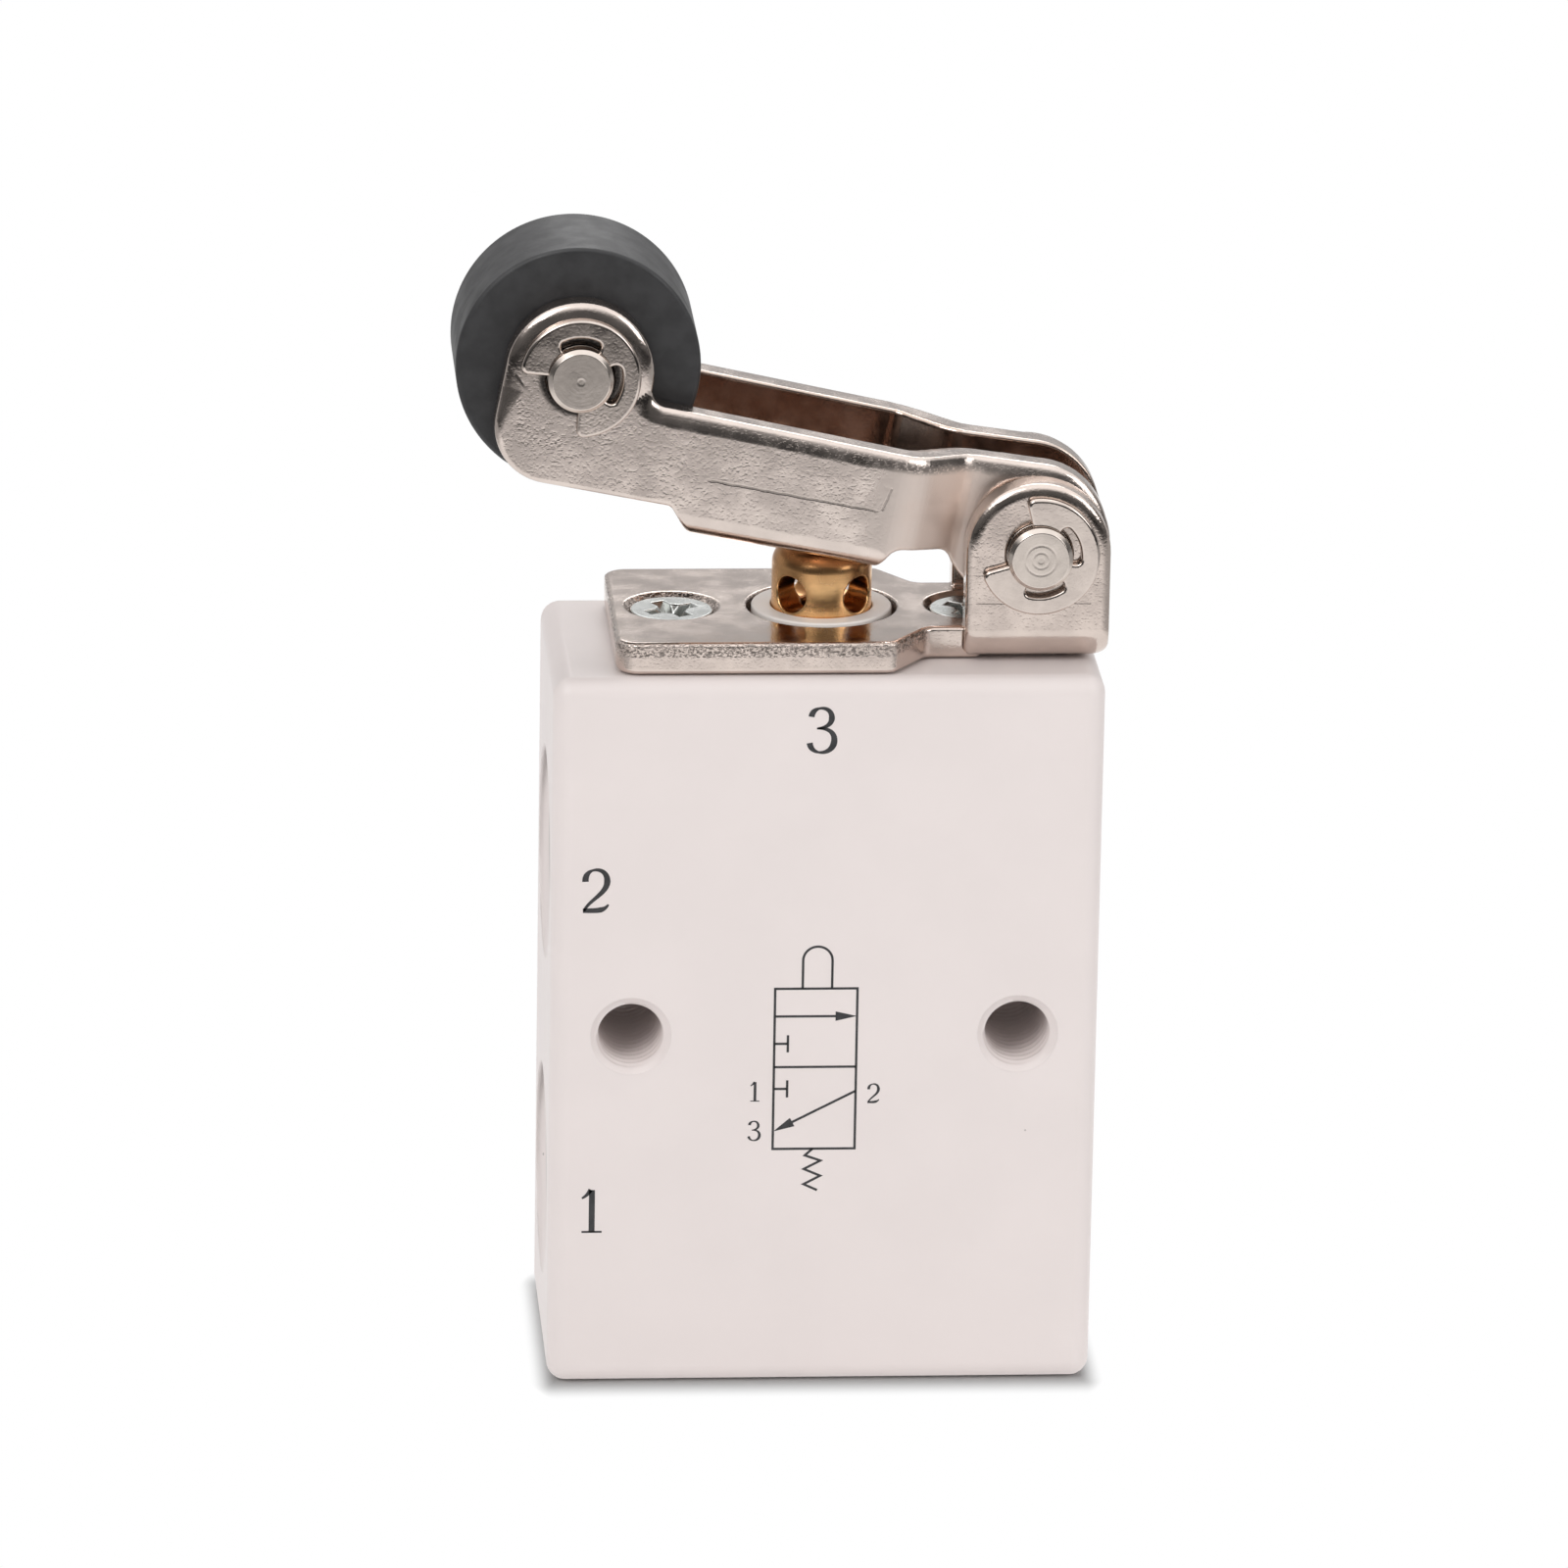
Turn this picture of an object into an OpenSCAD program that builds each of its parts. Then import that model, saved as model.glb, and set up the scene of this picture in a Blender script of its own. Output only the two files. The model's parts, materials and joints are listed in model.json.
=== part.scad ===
// Roller lever air valve: three ports, normally closed, worked by a roller on a lever.
// Millimetres. The origin is the centre of the body's bottom face, on the plunger's axis.
// +Z is up, -X is the side with the ports, -Y is the front.

/* [Valve body] */
// Width of the body, across the port side
body_w = 34; // [32:0.5:40]
// Depth of the body, front to back
body_d = 18; // [16:0.5:24]
// Height of the body
body_h = 46; // [45:0.5:60]
// Radius of the body's edges
body_edge_r = 1.2; // [0.4:0.1:2]

/* [Mounting holes] */
// Diameter of the two cross holes
mount_hole_d = 4.3; // [3.2:0.1:5]
// Distance between the two cross holes
mount_hole_spacing = 24; // [22:0.5:26]
// Height of the cross holes above the bottom face
mount_hole_z = 23; // [22:0.1:23.2]
// Width of the chamfer at the mouths of holes and ports
mouth_chamfer = 0.4; // [0.1:0.05:0.6]

/* [Ports] */
// Major diameter of the port thread
port_d = 13.16; // [9.7:0.02:13.3]
// Depth of the port
port_depth = 9.5; // [7:0.25:10]
// Height of the supply port
supply_port_z = 11.5; // [10.5:0.1:12.5]
// Height of the outlet port
outlet_port_z = 32.4; // [32.3:0.1:33.5]
// Diameter of the passage from a port to the bore
passage_d = 6.4; // [4:0.2:7]

/* [Valve bore] */
// Diameter of the bore that holds the guide bush
bush_bore_d = 10; // [9.4:0.1:10.6]
// Diameter of the counterbore for the flange of the bush
flange_bore_d = 12; // [11.4:0.1:12.8]
// Depth of the counterbore
flange_depth = 2.5; // [2:0.1:3.5]
// Diameter of the hole through the seat
seat_bore_d = 6; // [5.4:0.1:6.4]
// Height of the seat face, where the poppet closes
seat_z = 21; // [20:0.1:21.5]
// Thickness of the wall that carries the seat
seat_wall = 3; // [2:0.1:3.5]
// Height of the lip round the seat
seat_lip_h = 0.5; // [0.3:0.05:0.8]
// Width of the lip round the seat
seat_lip_w = 0.5; // [0.3:0.05:0.6]
// Diameter of the chamber of the poppet
poppet_bore_d = 11; // [10.6:0.1:11.6]
// Diameter of the bore of the bottom plug
plug_bore_d = 12.6; // [12.2:0.1:13]
// Depth of the bore of the bottom plug
plug_bore_depth = 8; // [7.6:0.1:8.5]

/* [Lever bracket] */
// Thickness of the bracket's sheet
bracket_t = 2.1; // [1.5:0.1:2.2]
// Reach of the plate to the left of the plunger
plate_reach = 13.1; // [12.5:0.1:15]
// Width of the plate, front to back
plate_w = 16.2; // [14:0.2:17]
// Radius of the plate's left corners
plate_corner_r = 1.4; // [0.5:0.1:3]
// Width of the neck between the plate and the ears
neck_w = 9.8; // [8.6:0.2:11]
// Where the plate starts to narrow, from the plunger
taper_start = 4; // [3:0.1:4.6]
// Where the neck starts, from the plunger
taper_end = 6.2; // [5.6:0.1:6.8]
// Width across the outer faces of the two ears
ear_span = 12.2; // [11.8:0.1:13]
// Width of an ear, along the body
ear_w = 8.9; // [8:0.1:9.4]
// Outer radius of the bend at an ear's foot
ear_bend_r = 2.3; // [2.2:0.1:2.6]
// Radius of the corner at the foot of an ear, away from the plate
ear_foot_r = 1.2; // [0.4:0.1:1.4]
// Distance from the plunger to the lever's pivot
pivot_x = 12.9; // [12.5:0.1:13.5]
// Height of the lever's pivot above the body
pivot_rise = 7.1; // [6.8:0.1:8]

/* [Bracket screws] */
// Diameter of the screws
screw_d = 3; // [2.5:0.1:3]
// Diameter of the countersunk heads
screw_head_d = 5.7; // [5:0.1:5.8]
// Length of the screws
screw_len = 6; // [5:0.5:6]
// Distance of each screw from the plunger
screw_x = 9.3; // [9.1:0.05:9.6]
// Length of the cross recess in a screw's head
recess_l = 3.1; // [2.4:0.1:3.6]
// Width of the recess's two arms
recess_w = 0.7; // [0.5:0.05:1]
// Depth of the recess
recess_deep = 0.8; // [0.5:0.05:1]

/* [Lever] */
// Thickness of the lever's sheet
lever_t = 2; // [1.7:0.1:2.1]
// Distance from the pivot to the roller pin, along the lever
lever_reach = 30; // [29:0.25:34]
// Height of the roller pin above the pivot, square to the lever
roller_rise = 5.95; // [5.5:0.05:7]
// Tilt of the lever at rest
lever_tilt = 10.9; // [9:0.1:12]
// Radius of the lever's head, round the roller pin
head_r = 4.55; // [4:0.05:5]
// Radius of the lever's lower corner, under the head
chin_r = 3.6; // [2:0.1:4]
// Height of the arm's top edge beside the head
arm_top = 4.95; // [4.4:0.05:5.2]
// Height of the arm's top edge at the jog
waist_top = 4.6; // [4.2:0.05:4.8]
// Depth of the web's underside below the pivot
web_drop = 2.9; // [2.6:0.05:3.2]
// Where the web's underside ends, on the pivot's side
web_near = 10.3; // [10:0.1:10.5]
// Where the web's underside ends, on the roller's side
web_far = 21.4; // [19:0.1:22]
// Length of the slope at the web's roller end
web_slope_far = 1.5; // [1:0.1:2]
// Length of the slope at the web's pivot end
web_slope_near = 1.4; // [1:0.1:1.5]
// Outer radius of the bend between the web and the sides
web_bend_r = 2.3; // [2.1:0.1:2.6]
// Where the jog ends, on the roller's side
jog_far = 8.8; // [8.6:0.1:8.9]
// Where the jog ends, on the pivot's side
jog_near = 5.5; // [5.3:0.1:5.7]
// Outer radius of the jog's bends
jog_bend_r = 3; // [2.4:0.1:3.2]

/* [Roller and pins] */
// Diameter of the roller
roller_d = 15; // [13:0.1:15.4]
// Width of the roller
roller_w = 8.4; // [8:0.1:8.8]
// Radius of the roller's edges
roller_edge_r = 0.5; // [0.2:0.1:1]
// Diameter of the two pins
pin_d = 4; // [3.6:0.1:4.2]
// Diameter of the pins' heads
pin_head_d = 6.2; // [5.6:0.1:6.6]
// Height of the pins' heads
pin_head_h = 1; // [0.6:0.1:1.2]
// Reach of the pins past the E-ring's side
pin_tail = 1.25; // [1:0.05:1.4]
// Chamfer at the pins' ends
pin_edge = 0.25; // [0.1:0.05:0.3]
// Outer diameter of the E-rings
e_ring_d = 7.4; // [6.8:0.1:7.8]
// Thickness of the E-rings
e_ring_t = 0.6; // [0.5:0.05:0.7]
// Diameter of the pins at the E-ring's groove
groove_d = 3; // [2.6:0.1:3.1]

/* [Guide bush] */
// Depth of the bush below the body's top
bush_depth = 8; // [7:0.1:9]
// Diameter of the bush where it passes the bracket
bush_neck_d = 8.7; // [8.4:0.1:9]
// Height of the bush above the bracket
bush_proud = 0.1; // [0.1:0.05:0.5]
// Depth of the bush's O-ring below the body's top
bush_ring_drop = 5; // [4.4:0.1:6]
// Thickness of the O-rings of bush and plug
static_ring_t = 1.1; // [0.9:0.05:1.2]

/* [Plunger] */
// Diameter of the plunger
plunger_d = 6.2; // [5.8:0.1:6.4]
// Radius of the plunger's shoulder
plunger_shoulder_r = 1.3; // [0.8:0.1:1.6]
// Diameter of the hole along the plunger
plunger_bore_d = 2.6; // [2:0.1:2.8]
// Diameter of the plunger's cross holes
vent_d = 2.3; // [1.6:0.1:2.4]
// Height of the cross holes above the bracket
vent_rise = 1.3; // [1.25:0.05:1.8]
// Diameter of the plunger's collar
collar_d = 8.6; // [8:0.1:9]
// Thickness of the plunger's collar
collar_t = 1.5; // [1:0.1:2]
// Diameter of the plunger's nose, below the collar
nose_d = 4.4; // [4:0.1:4.6]
// Gap between nose and poppet at rest, the way to the exhaust
exhaust_gap = 0.6; // [0.55:0.05:0.8]
// Depth of the plunger's O-ring below the body's top
plunger_ring_drop = 4; // [3.2:0.1:4.4]
// Thickness of the plunger's O-ring
plunger_ring_t = 0.8; // [0.7:0.05:0.9]

/* [Poppet] */
// Diameter of the poppet's disc
poppet_d = 9.4; // [9:0.1:9.8]
// Thickness of the poppet's disc under the seal
poppet_t = 1.5; // [1.2:0.1:2]
// Diameter of the seal
seal_d = 8.2; // [7.6:0.1:8.4]
// Thickness of the seal
seal_t = 1.5; // [1.2:0.1:1.8]
// Depth of the seal's recess in the poppet
seal_sunk = 0.9; // [0.6:0.05:1]
// Diameter of the poppet's stem
poppet_stem_d = 3; // [2.6:0.1:3.2]

/* [Bottom plug and circlip] */
// Depth of the guide hole in the plug
guide_depth = 4.8; // [4.4:0.1:5]
// Length of the poppet's stem inside the guide hole
guide_engaged = 2.8; // [2:0.1:3]
// Height of the plug's O-ring above the plug's underside
plug_ring_rise = 3.2; // [2.8:0.1:3.6]
// Thickness of the circlip
circlip_t = 1; // [0.8:0.1:1.2]
// Height of the circlip above the bottom face
circlip_z = 0.6; // [0.4:0.1:0.8]
// Radial width of the circlip
circlip_w = 1.5; // [1.2:0.1:1.7]
// Depth of the circlip's groove
circlip_groove = 0.6; // [0.4:0.05:0.7]
// Radius of the circlip's lugs
lug_r = 1.2; // [1:0.05:1.4]
// Diameter of the holes in the lugs
lug_hole_d = 1; // [0.8:0.05:1.2]

/* [Springs] */
// Mean diameter of the plunger's spring
plunger_spring_d = 6.8; // [6.4:0.1:7.4]
// Wire of the plunger's spring
plunger_wire_d = 0.8; // [0.6:0.05:0.9]
// Turns of the plunger's spring
plunger_turns = 8; // [6:1:9]
// Mean diameter of the poppet's spring
poppet_spring_d = 6.4; // [5.8:0.1:7]
// Wire of the poppet's spring
poppet_wire_d = 0.6; // [0.5:0.05:0.7]
// Turns of the poppet's spring
poppet_turns = 7; // [5:1:8]

/* [Clearances] */
// Radial clearance of fixed pieces in their holes
fixed_fit = 0.02; // [0.01:0.01:0.05]
// Radial clearance of sliding and turning pieces
running_fit = 0.05; // [0.03:0.01:0.08]
// Gap beside the roller, and between the lever and the ears
side_gap = 0.2; // [0.15:0.05:0.4]
// Gap between the lever's web and the plunger at rest
lever_gap = 0.06; // [0.04:0.01:0.1]
// Gap under the lever's round end
end_gap = 0.3; // [0.2:0.05:0.5]
// Radial gap round the bush in the bracket
bush_gap = 0.3; // [0.2:0.05:0.4]
// Radial gap round the shanks of the bracket screws
screw_gap = 0.3; // [0.2:0.05:0.4]

/* [Hidden] */
$fn = 72;

// Length that a cut reaches past the surface it opens
over = 1;
// What a round is cut over its radius, so that it crosses its two sides and doesn't just touch them
hair = 0.001;
// Heights of the body's top, the bracket's top and the pivot
body_top = body_h;
plate_top = body_top + bracket_t;
pivot_z = body_top + pivot_rise;

// Height of the screws' heads, whose sides slope at 45 degrees
screw_head_h = (screw_head_d - screw_d) / 2;

// Half widths across the ears and the lever's two ends
ear_out = ear_span / 2;
ear_in = ear_out - bracket_t;
narrow_out = ear_in - side_gap;
narrow_in = narrow_out - lever_t;
wide_in = roller_w / 2 + side_gap;
wide_out = wide_in + lever_t;

// The lever's round end clears the plate, and its web's upper face is level with the sides' lower edge
end_r = pivot_rise - bracket_t - end_gap;
arm_drop = web_drop - lever_t;
// Radii of the lever's corners: at the web, in the notches, and along the waist of its top edge
web_corner_r = 0.5;
notch_r = 1;
waist_r = 12;
// Radius of the corners where the bracket's plate narrows to its neck
neck_corner_r = 1;
// Turn of the jog, and how far its inner corners lie behind the outer ones
jog_turn = atan2(wide_out - narrow_out, jog_far - jog_near);
jog_shift = lever_t * tan(jog_turn / 2);
jog_inner_r = jog_bend_r - lever_t;

// The plunger's shoulder touches the tilted web, so its height follows from the lever
plunger_r = plunger_d / 2;
shoulder_x = plunger_r - plunger_shoulder_r;
shoulder_below = web_drop + plunger_shoulder_r + lever_gap + (shoulder_x - pivot_x) * sin(lever_tilt);
plunger_top = pivot_z - shoulder_below / cos(lever_tilt) + plunger_shoulder_r;
vent_z = plate_top + vent_rise;
bush_bottom = body_top - bush_depth;
collar_top = bush_bottom - running_fit;
collar_bottom = collar_top - collar_t;
nose_z = seat_z + exhaust_gap;
seat_top = seat_z + seat_wall;

// Heights of the poppet and the plug
seal_top = seat_z - fixed_fit;
seal_bottom = seal_top - seal_t;
poppet_bottom = seal_bottom - poppet_t;
stem_bottom = plug_bore_depth - guide_engaged;
circlip_top = circlip_z + circlip_t;
plug_bottom = circlip_top + fixed_fit;
circlip_r = plug_bore_d / 2 + circlip_groove;

// Turns of the recesses in the left and right screws, and of the plunger's cross holes
left_turn = 25;
right_turn = 60;
vent_turns = [45, 135];
// Directions of the E-rings' mouths, half their angle, and where their two windows start and end
roller_ring_mouth = 220;
pivot_ring_mouth = 150;
ring_mouth_half = 46;
window_from = 98;
window_to = 162;
// Depth of a window outside the pin
window_deep = 0.85;
// Half the angle of the circlip's mouth
circlip_mouth_half = 16;
// Grooves are this much wider than the O-ring in them
ring_room = 0.3;
// Rounds of the spring's wire, and steps in each turn of the spring
wire_sides = 8;
turn_steps = 16;
// Pitch of the closed end turns, in wire diameters
closed_pitch = 1.05;

// Unit vector from point a to point b
function toward(a, b) = (b - a) / norm(b - a);
// Twice the signed area of the corner a, b, c: positive where the outline turns left
function turn_of(a, b, c) = (b.x - a.x) * (c.y - b.y) - (b.y - a.y) * (c.x - b.x);

// Half the angle at corner b, the distance from b to where a round starts, and the round's centre
function half_angle(a, b, c) = acos(toward(b, a) * toward(b, c)) / 2;
function round_start(a, b, c, r) = b + toward(b, a) * r / tan(half_angle(a, b, c));
function round_centre(a, b, c, r) =
    b + toward([0, 0], toward(b, a) + toward(b, c)) * r / sin(half_angle(a, b, c));

// What a round of radius r takes from a convex corner b
module corner_piece(a, b, c, r) {
    difference() {
        polygon([round_start(a, b, c, r), b + toward(round_centre(a, b, c, r), b), round_start(c, b, a, r)]);
        translate(round_centre(a, b, c, r)) circle(r + hair);
    }
}

// Outline from corners [x, y, radius], listed anticlockwise, with true arcs at its corners
module rounded_outline(corners) {
    n = len(corners);
    points = [for (c = corners) [c.x, c.y]];
    before = [for (i = [0:n - 1]) points[(i + n - 1) % n]];
    after = [for (i = [0:n - 1]) points[(i + 1) % n]];
    turns = [for (i = [0:n - 1]) corners[i].z == 0 ? 0 : turn_of(before[i], points[i], after[i])];
    difference() {
        polygon([for (i = [0:n - 1]) each turns[i] >= 0 ? [points[i]]
            : [round_start(before[i], points[i], after[i], corners[i].z),
                round_start(after[i], points[i], before[i], corners[i].z)]]);
        for (i = [0:n - 1]) {
            if (turns[i] > 0) corner_piece(before[i], points[i], after[i], corners[i].z);
            if (turns[i] < 0) translate(round_centre(before[i], points[i], after[i], corners[i].z))
                circle(corners[i].z + hair);
        }
    }
}

// Rectangle about the origin with rounded corners
module rounded_rectangle(w, h, r) {
    rounded_outline([[-w / 2, -h / 2, r], [w / 2, -h / 2, r], [w / 2, h / 2, r], [-w / 2, h / 2, r]]);
}

// Carries an outline in the front view, x to the right and y up, from depth y0 to y1
module across(y0, y1) {
    translate([0, y1, 0]) rotate([90, 0, 0]) linear_extrude(y1 - y0) children();
}

// Carries an outline in the side view, its x along +Y and its y up, from x0 to x1
module along_x(x0, x1) {
    translate([x0, 0, 0]) rotate([90, 0, 90]) linear_extrude(x1 - x0) children();
}

// Hole along the plunger's axis from z0 to z1
module bore(d, z0, z1) {
    translate([0, 0, z0]) cylinder(d = d, h = z1 - z0);
}

// Cone that breaks the edge at the mouth of a hole, on the face z = 0, opening upwards
module mouth(d) {
    translate([0, 0, -mouth_chamfer]) cylinder(d1 = d, d2 = d + 4 * mouth_chamfer, h = 2 * mouth_chamfer);
}

// Places what belongs to the lever: the pivot is the origin and the roller is towards -x
module on_lever() {
    translate([pivot_x, 0, pivot_z]) rotate([0, lever_tilt, 0]) children();
}

module on_roller_pin() {
    on_lever() translate([-lever_reach, 0, roller_rise]) children();
}

module body_block() {
    intersection() {
        linear_extrude(body_h) rounded_rectangle(body_w, body_d, body_edge_r);
        across(-body_d, body_d) translate([0, body_h / 2]) rounded_rectangle(body_w, body_h, body_edge_r);
        along_x(-body_w, body_w) translate([0, body_h / 2]) rounded_rectangle(body_d, body_h, body_edge_r);
    }
}

// Port in the left face, with its passage to the bore
module port(z) {
    translate([-body_w / 2, 0, z]) rotate([0, -90, 0]) {
        translate([0, 0, -port_depth]) cylinder(d = port_d, h = port_depth + over);
        mouth(port_d);
        translate([0, 0, -body_w / 2]) cylinder(d = passage_d, h = body_w / 2);
    }
}

// Cross hole with a broken edge at both faces
module mount_hole(x) {
    translate([x, 0, mount_hole_z]) rotate([90, 0, 0]) {
        translate([0, 0, -body_d]) cylinder(d = mount_hole_d, h = 2 * body_d);
        for (flip = [0, 1]) mirror([0, 0, flip]) translate([0, 0, body_d / 2]) mouth(mount_hole_d);
    }
}

module valve_body() {
    color([0.9, 0.87, 0.86]) difference() {
        body_block();
        bore(flange_bore_d, body_top - flange_depth, body_top + over);
        bore(bush_bore_d, seat_top, body_top);
        bore(seat_bore_d, seat_z - over, seat_top + over);
        difference() {
            bore(poppet_bore_d, plug_bore_depth - over, seat_z + seat_lip_h);
            bore(seat_bore_d + 2 * seat_lip_w, seat_z, seat_z + over);
        }
        bore(plug_bore_d, -over, plug_bore_depth);
        bore(2 * circlip_r, circlip_z - fixed_fit, plug_bottom);
        port(supply_port_z);
        port(outlet_port_z);
        for (side = [-1, 1]) {
            mount_hole(side * mount_hole_spacing / 2);
            translate([side * screw_x, 0, plate_top - screw_len - over])
                cylinder(d = screw_d + 2 * fixed_fit, h = screw_len + over);
        }
    }
}

module plate_outline() {
    ear_start = pivot_x - ear_w / 2;
    rounded_outline([
        [-plate_reach, -plate_w / 2, plate_corner_r],
        [taper_start, -plate_w / 2, neck_corner_r],
        [taper_end, -neck_w / 2, neck_corner_r],
        [ear_start, -neck_w / 2, 0],
        [ear_start, neck_w / 2, 0],
        [taper_end, neck_w / 2, neck_corner_r],
        [taper_start, plate_w / 2, neck_corner_r],
        [-plate_reach, plate_w / 2, plate_corner_r]
    ]);
}

// Channel of the two ears, seen along the body: the sheet turns up with a small inner radius
module ear_channel() {
    tall = pivot_rise + ear_w;
    difference() {
        rounded_outline([[-ear_out, 0, ear_bend_r], [ear_out, 0, ear_bend_r],
            [ear_out, tall, 0], [-ear_out, tall, 0]]);
        rounded_outline([[-ear_in, bracket_t, ear_bend_r - bracket_t],
            [ear_in, bracket_t, ear_bend_r - bracket_t],
            [ear_in, tall + over, 0], [-ear_in, tall + over, 0]]);
    }
}

// An ear from the front: straight sides under a round top about the pivot
module ear_outline() {
    translate([0, pivot_rise]) circle(d = ear_w);
    rounded_outline([[-ear_w / 2, 0, 0], [ear_w / 2, 0, ear_foot_r],
        [ear_w / 2, pivot_rise, 0], [-ear_w / 2, pivot_rise, 0]]);
}

module lever_bracket() {
    color([0.72, 0.68, 0.65]) difference() {
        union() {
            translate([0, 0, body_top]) linear_extrude(bracket_t) plate_outline();
            translate([pivot_x, 0, body_top]) intersection() {
                along_x(-ear_w / 2, ear_w / 2) ear_channel();
                across(-ear_span, ear_span) ear_outline();
            }
        }
        bore(bush_neck_d + 2 * bush_gap, body_top - over, plate_top + over);
        for (side = [-1, 1]) translate([side * screw_x, 0, plate_top]) screw_space();
        translate([pivot_x, 0, pivot_z]) rotate([90, 0, 0])
            cylinder(d = pin_d + 2 * fixed_fit, h = 2 * ear_span, center = true);
    }
}

// Countersink that a screw's head seats in, and the clearance hole under it, below the plate's face
module screw_space() {
    translate([0, 0, -bracket_t - over]) cylinder(d = screw_d + 2 * screw_gap, h = bracket_t + 2 * over);
    translate([0, 0, -screw_head_h])
        cylinder(d1 = screw_d + 2 * fixed_fit, d2 = screw_head_d + 2 * fixed_fit, h = screw_head_h);
}

// Countersunk screw with its head's face at z = 0 and a cross recess turned by an angle
module countersunk_screw(angle) {
    difference() {
        union() {
            translate([0, 0, -screw_head_h]) cylinder(d1 = screw_d, d2 = screw_head_d, h = screw_head_h);
            translate([0, 0, -screw_len]) cylinder(d = screw_d, h = screw_len - screw_head_h);
        }
        for (arm = [0, 90]) rotate(angle + arm) translate([0, 0, -recess_deep])
            linear_extrude(recess_deep + over) square([recess_l, recess_w], center = true);
    }
}

module bracket_screws() {
    color([0.74, 0.76, 0.76]) {
        translate([-screw_x, 0, plate_top]) countersunk_screw(left_turn);
        translate([screw_x, 0, plate_top]) countersunk_screw(right_turn);
    }
}

module guide_bush() {
    bush_bore = plunger_d + 2 * running_fit;
    spigot_d = bush_bore_d - 2 * fixed_fit;
    ring_z = body_top - bush_ring_drop;
    groove_h = static_ring_t + ring_room;
    color([0.93, 0.91, 0.88]) difference() {
        union() {
            bore(spigot_d, bush_bottom, body_top - flange_depth + over);
            bore(flange_bore_d - 2 * fixed_fit, body_top - flange_depth, body_top - fixed_fit);
            bore(bush_neck_d, body_top - over, plate_top + bush_proud);
        }
        bore(bush_bore, bush_bottom - over, plate_top + bush_proud + over);
        difference() {
            bore(bush_bore_d + over, ring_z - groove_h / 2, ring_z + groove_h / 2);
            bore(bush_bore_d - 2 * static_ring_t, ring_z - groove_h, ring_z + groove_h);
        }
    }
}

// O-ring of thickness t that fills the space inside a bore of diameter d
module o_ring(d, t, z) {
    translate([0, 0, z]) rotate_extrude() translate([(d - t) / 2, 0]) circle(d = t - 2 * fixed_fit);
}

module bush_o_ring() {
    color([0.1, 0.1, 0.1]) o_ring(bush_bore_d, static_ring_t, body_top - bush_ring_drop);
}

// Half section of the plunger, from the nose up to the rounded shoulder
module plunger_profile() {
    rounded_outline([
        [0, nose_z, 0],
        [nose_d / 2, nose_z, 0],
        [nose_d / 2, collar_bottom, 0],
        [collar_d / 2, collar_bottom, 0],
        [collar_d / 2, collar_top, 0],
        [plunger_r, collar_top, 0],
        [plunger_r, plunger_top, plunger_shoulder_r],
        [0, plunger_top, 0]
    ]);
}

module plunger() {
    bush_bore = plunger_d + 2 * running_fit;
    ring_z = body_top - plunger_ring_drop;
    groove_h = plunger_ring_t + ring_room;
    color([0.72, 0.5, 0.22]) difference() {
        rotate_extrude() plunger_profile();
        bore(plunger_bore_d, nose_z - over, vent_z + vent_d / 2);
        for (angle = vent_turns) translate([0, 0, vent_z]) rotate([90, 0, angle])
            cylinder(d = vent_d, h = 2 * plunger_d, center = true);
        difference() {
            bore(plunger_d + over, ring_z - groove_h / 2, ring_z + groove_h / 2);
            bore(bush_bore - 2 * plunger_ring_t, ring_z - groove_h, ring_z + groove_h);
        }
    }
}

module plunger_o_ring() {
    color([0.1, 0.1, 0.1])
        o_ring(plunger_d + 2 * running_fit, plunger_ring_t, body_top - plunger_ring_drop);
}

// Height along a spring after some turns: closed end turns, and even pitch between them
function coil_rise(turn, turns, wire_d, length) =
    let (closed = closed_pitch * wire_d, pitch = (length - wire_d - 2 * closed) / (turns - 2))
    turn < 1 ? closed * turn
    : turn > turns - 1 ? length - wire_d - closed * (turns - turn)
    : closed + pitch * (turn - 1);

// Round wire wound on a mean diameter d, from z0 to z1
module coil_spring(d, wire_d, turns, z0, z1) {
    rings = turns * turn_steps;
    rows = [for (i = [0:rings]) let (a = 360 * i / turn_steps,
            z = z0 + wire_d / 2 + coil_rise(i / turn_steps, turns, wire_d, z1 - z0))
        [for (k = [0:wire_sides - 1]) let (b = 360 * k / wire_sides, r = (d + wire_d * cos(b)) / 2)
            [r * cos(a), r * sin(a), z + wire_d * sin(b) / 2]]];
    sides = [for (i = [0:rings - 1], k = [0:wire_sides - 1])
        let (next = (k + 1) % wire_sides, low = i * wire_sides, high = low + wire_sides)
        each [[low + k, low + next, high + next], [low + k, high + next, high + k]]];
    start = [for (k = [0:wire_sides - 1]) wire_sides - 1 - k];
    end = [for (k = [0:wire_sides - 1]) rings * wire_sides + k];
    polyhedron([for (row = rows) each row], concat(sides, [start, end]));
}

module plunger_spring() {
    color([0.62, 0.64, 0.66]) coil_spring(plunger_spring_d, plunger_wire_d, plunger_turns,
        seat_top + fixed_fit, collar_bottom - fixed_fit);
}

module poppet_spring() {
    color([0.62, 0.64, 0.66]) coil_spring(poppet_spring_d, poppet_wire_d, poppet_turns,
        plug_bore_depth + fixed_fit, poppet_bottom - fixed_fit);
}

module poppet() {
    color([0.72, 0.5, 0.22]) difference() {
        union() {
            bore(poppet_d, poppet_bottom, seal_bottom + seal_sunk);
            bore(poppet_stem_d, stem_bottom, poppet_bottom + over);
        }
        bore(seal_d + 2 * fixed_fit, seal_bottom, seal_bottom + seal_sunk + over);
    }
}

module poppet_seal() {
    color([0.1, 0.1, 0.1]) bore(seal_d, seal_bottom, seal_top);
}

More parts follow.
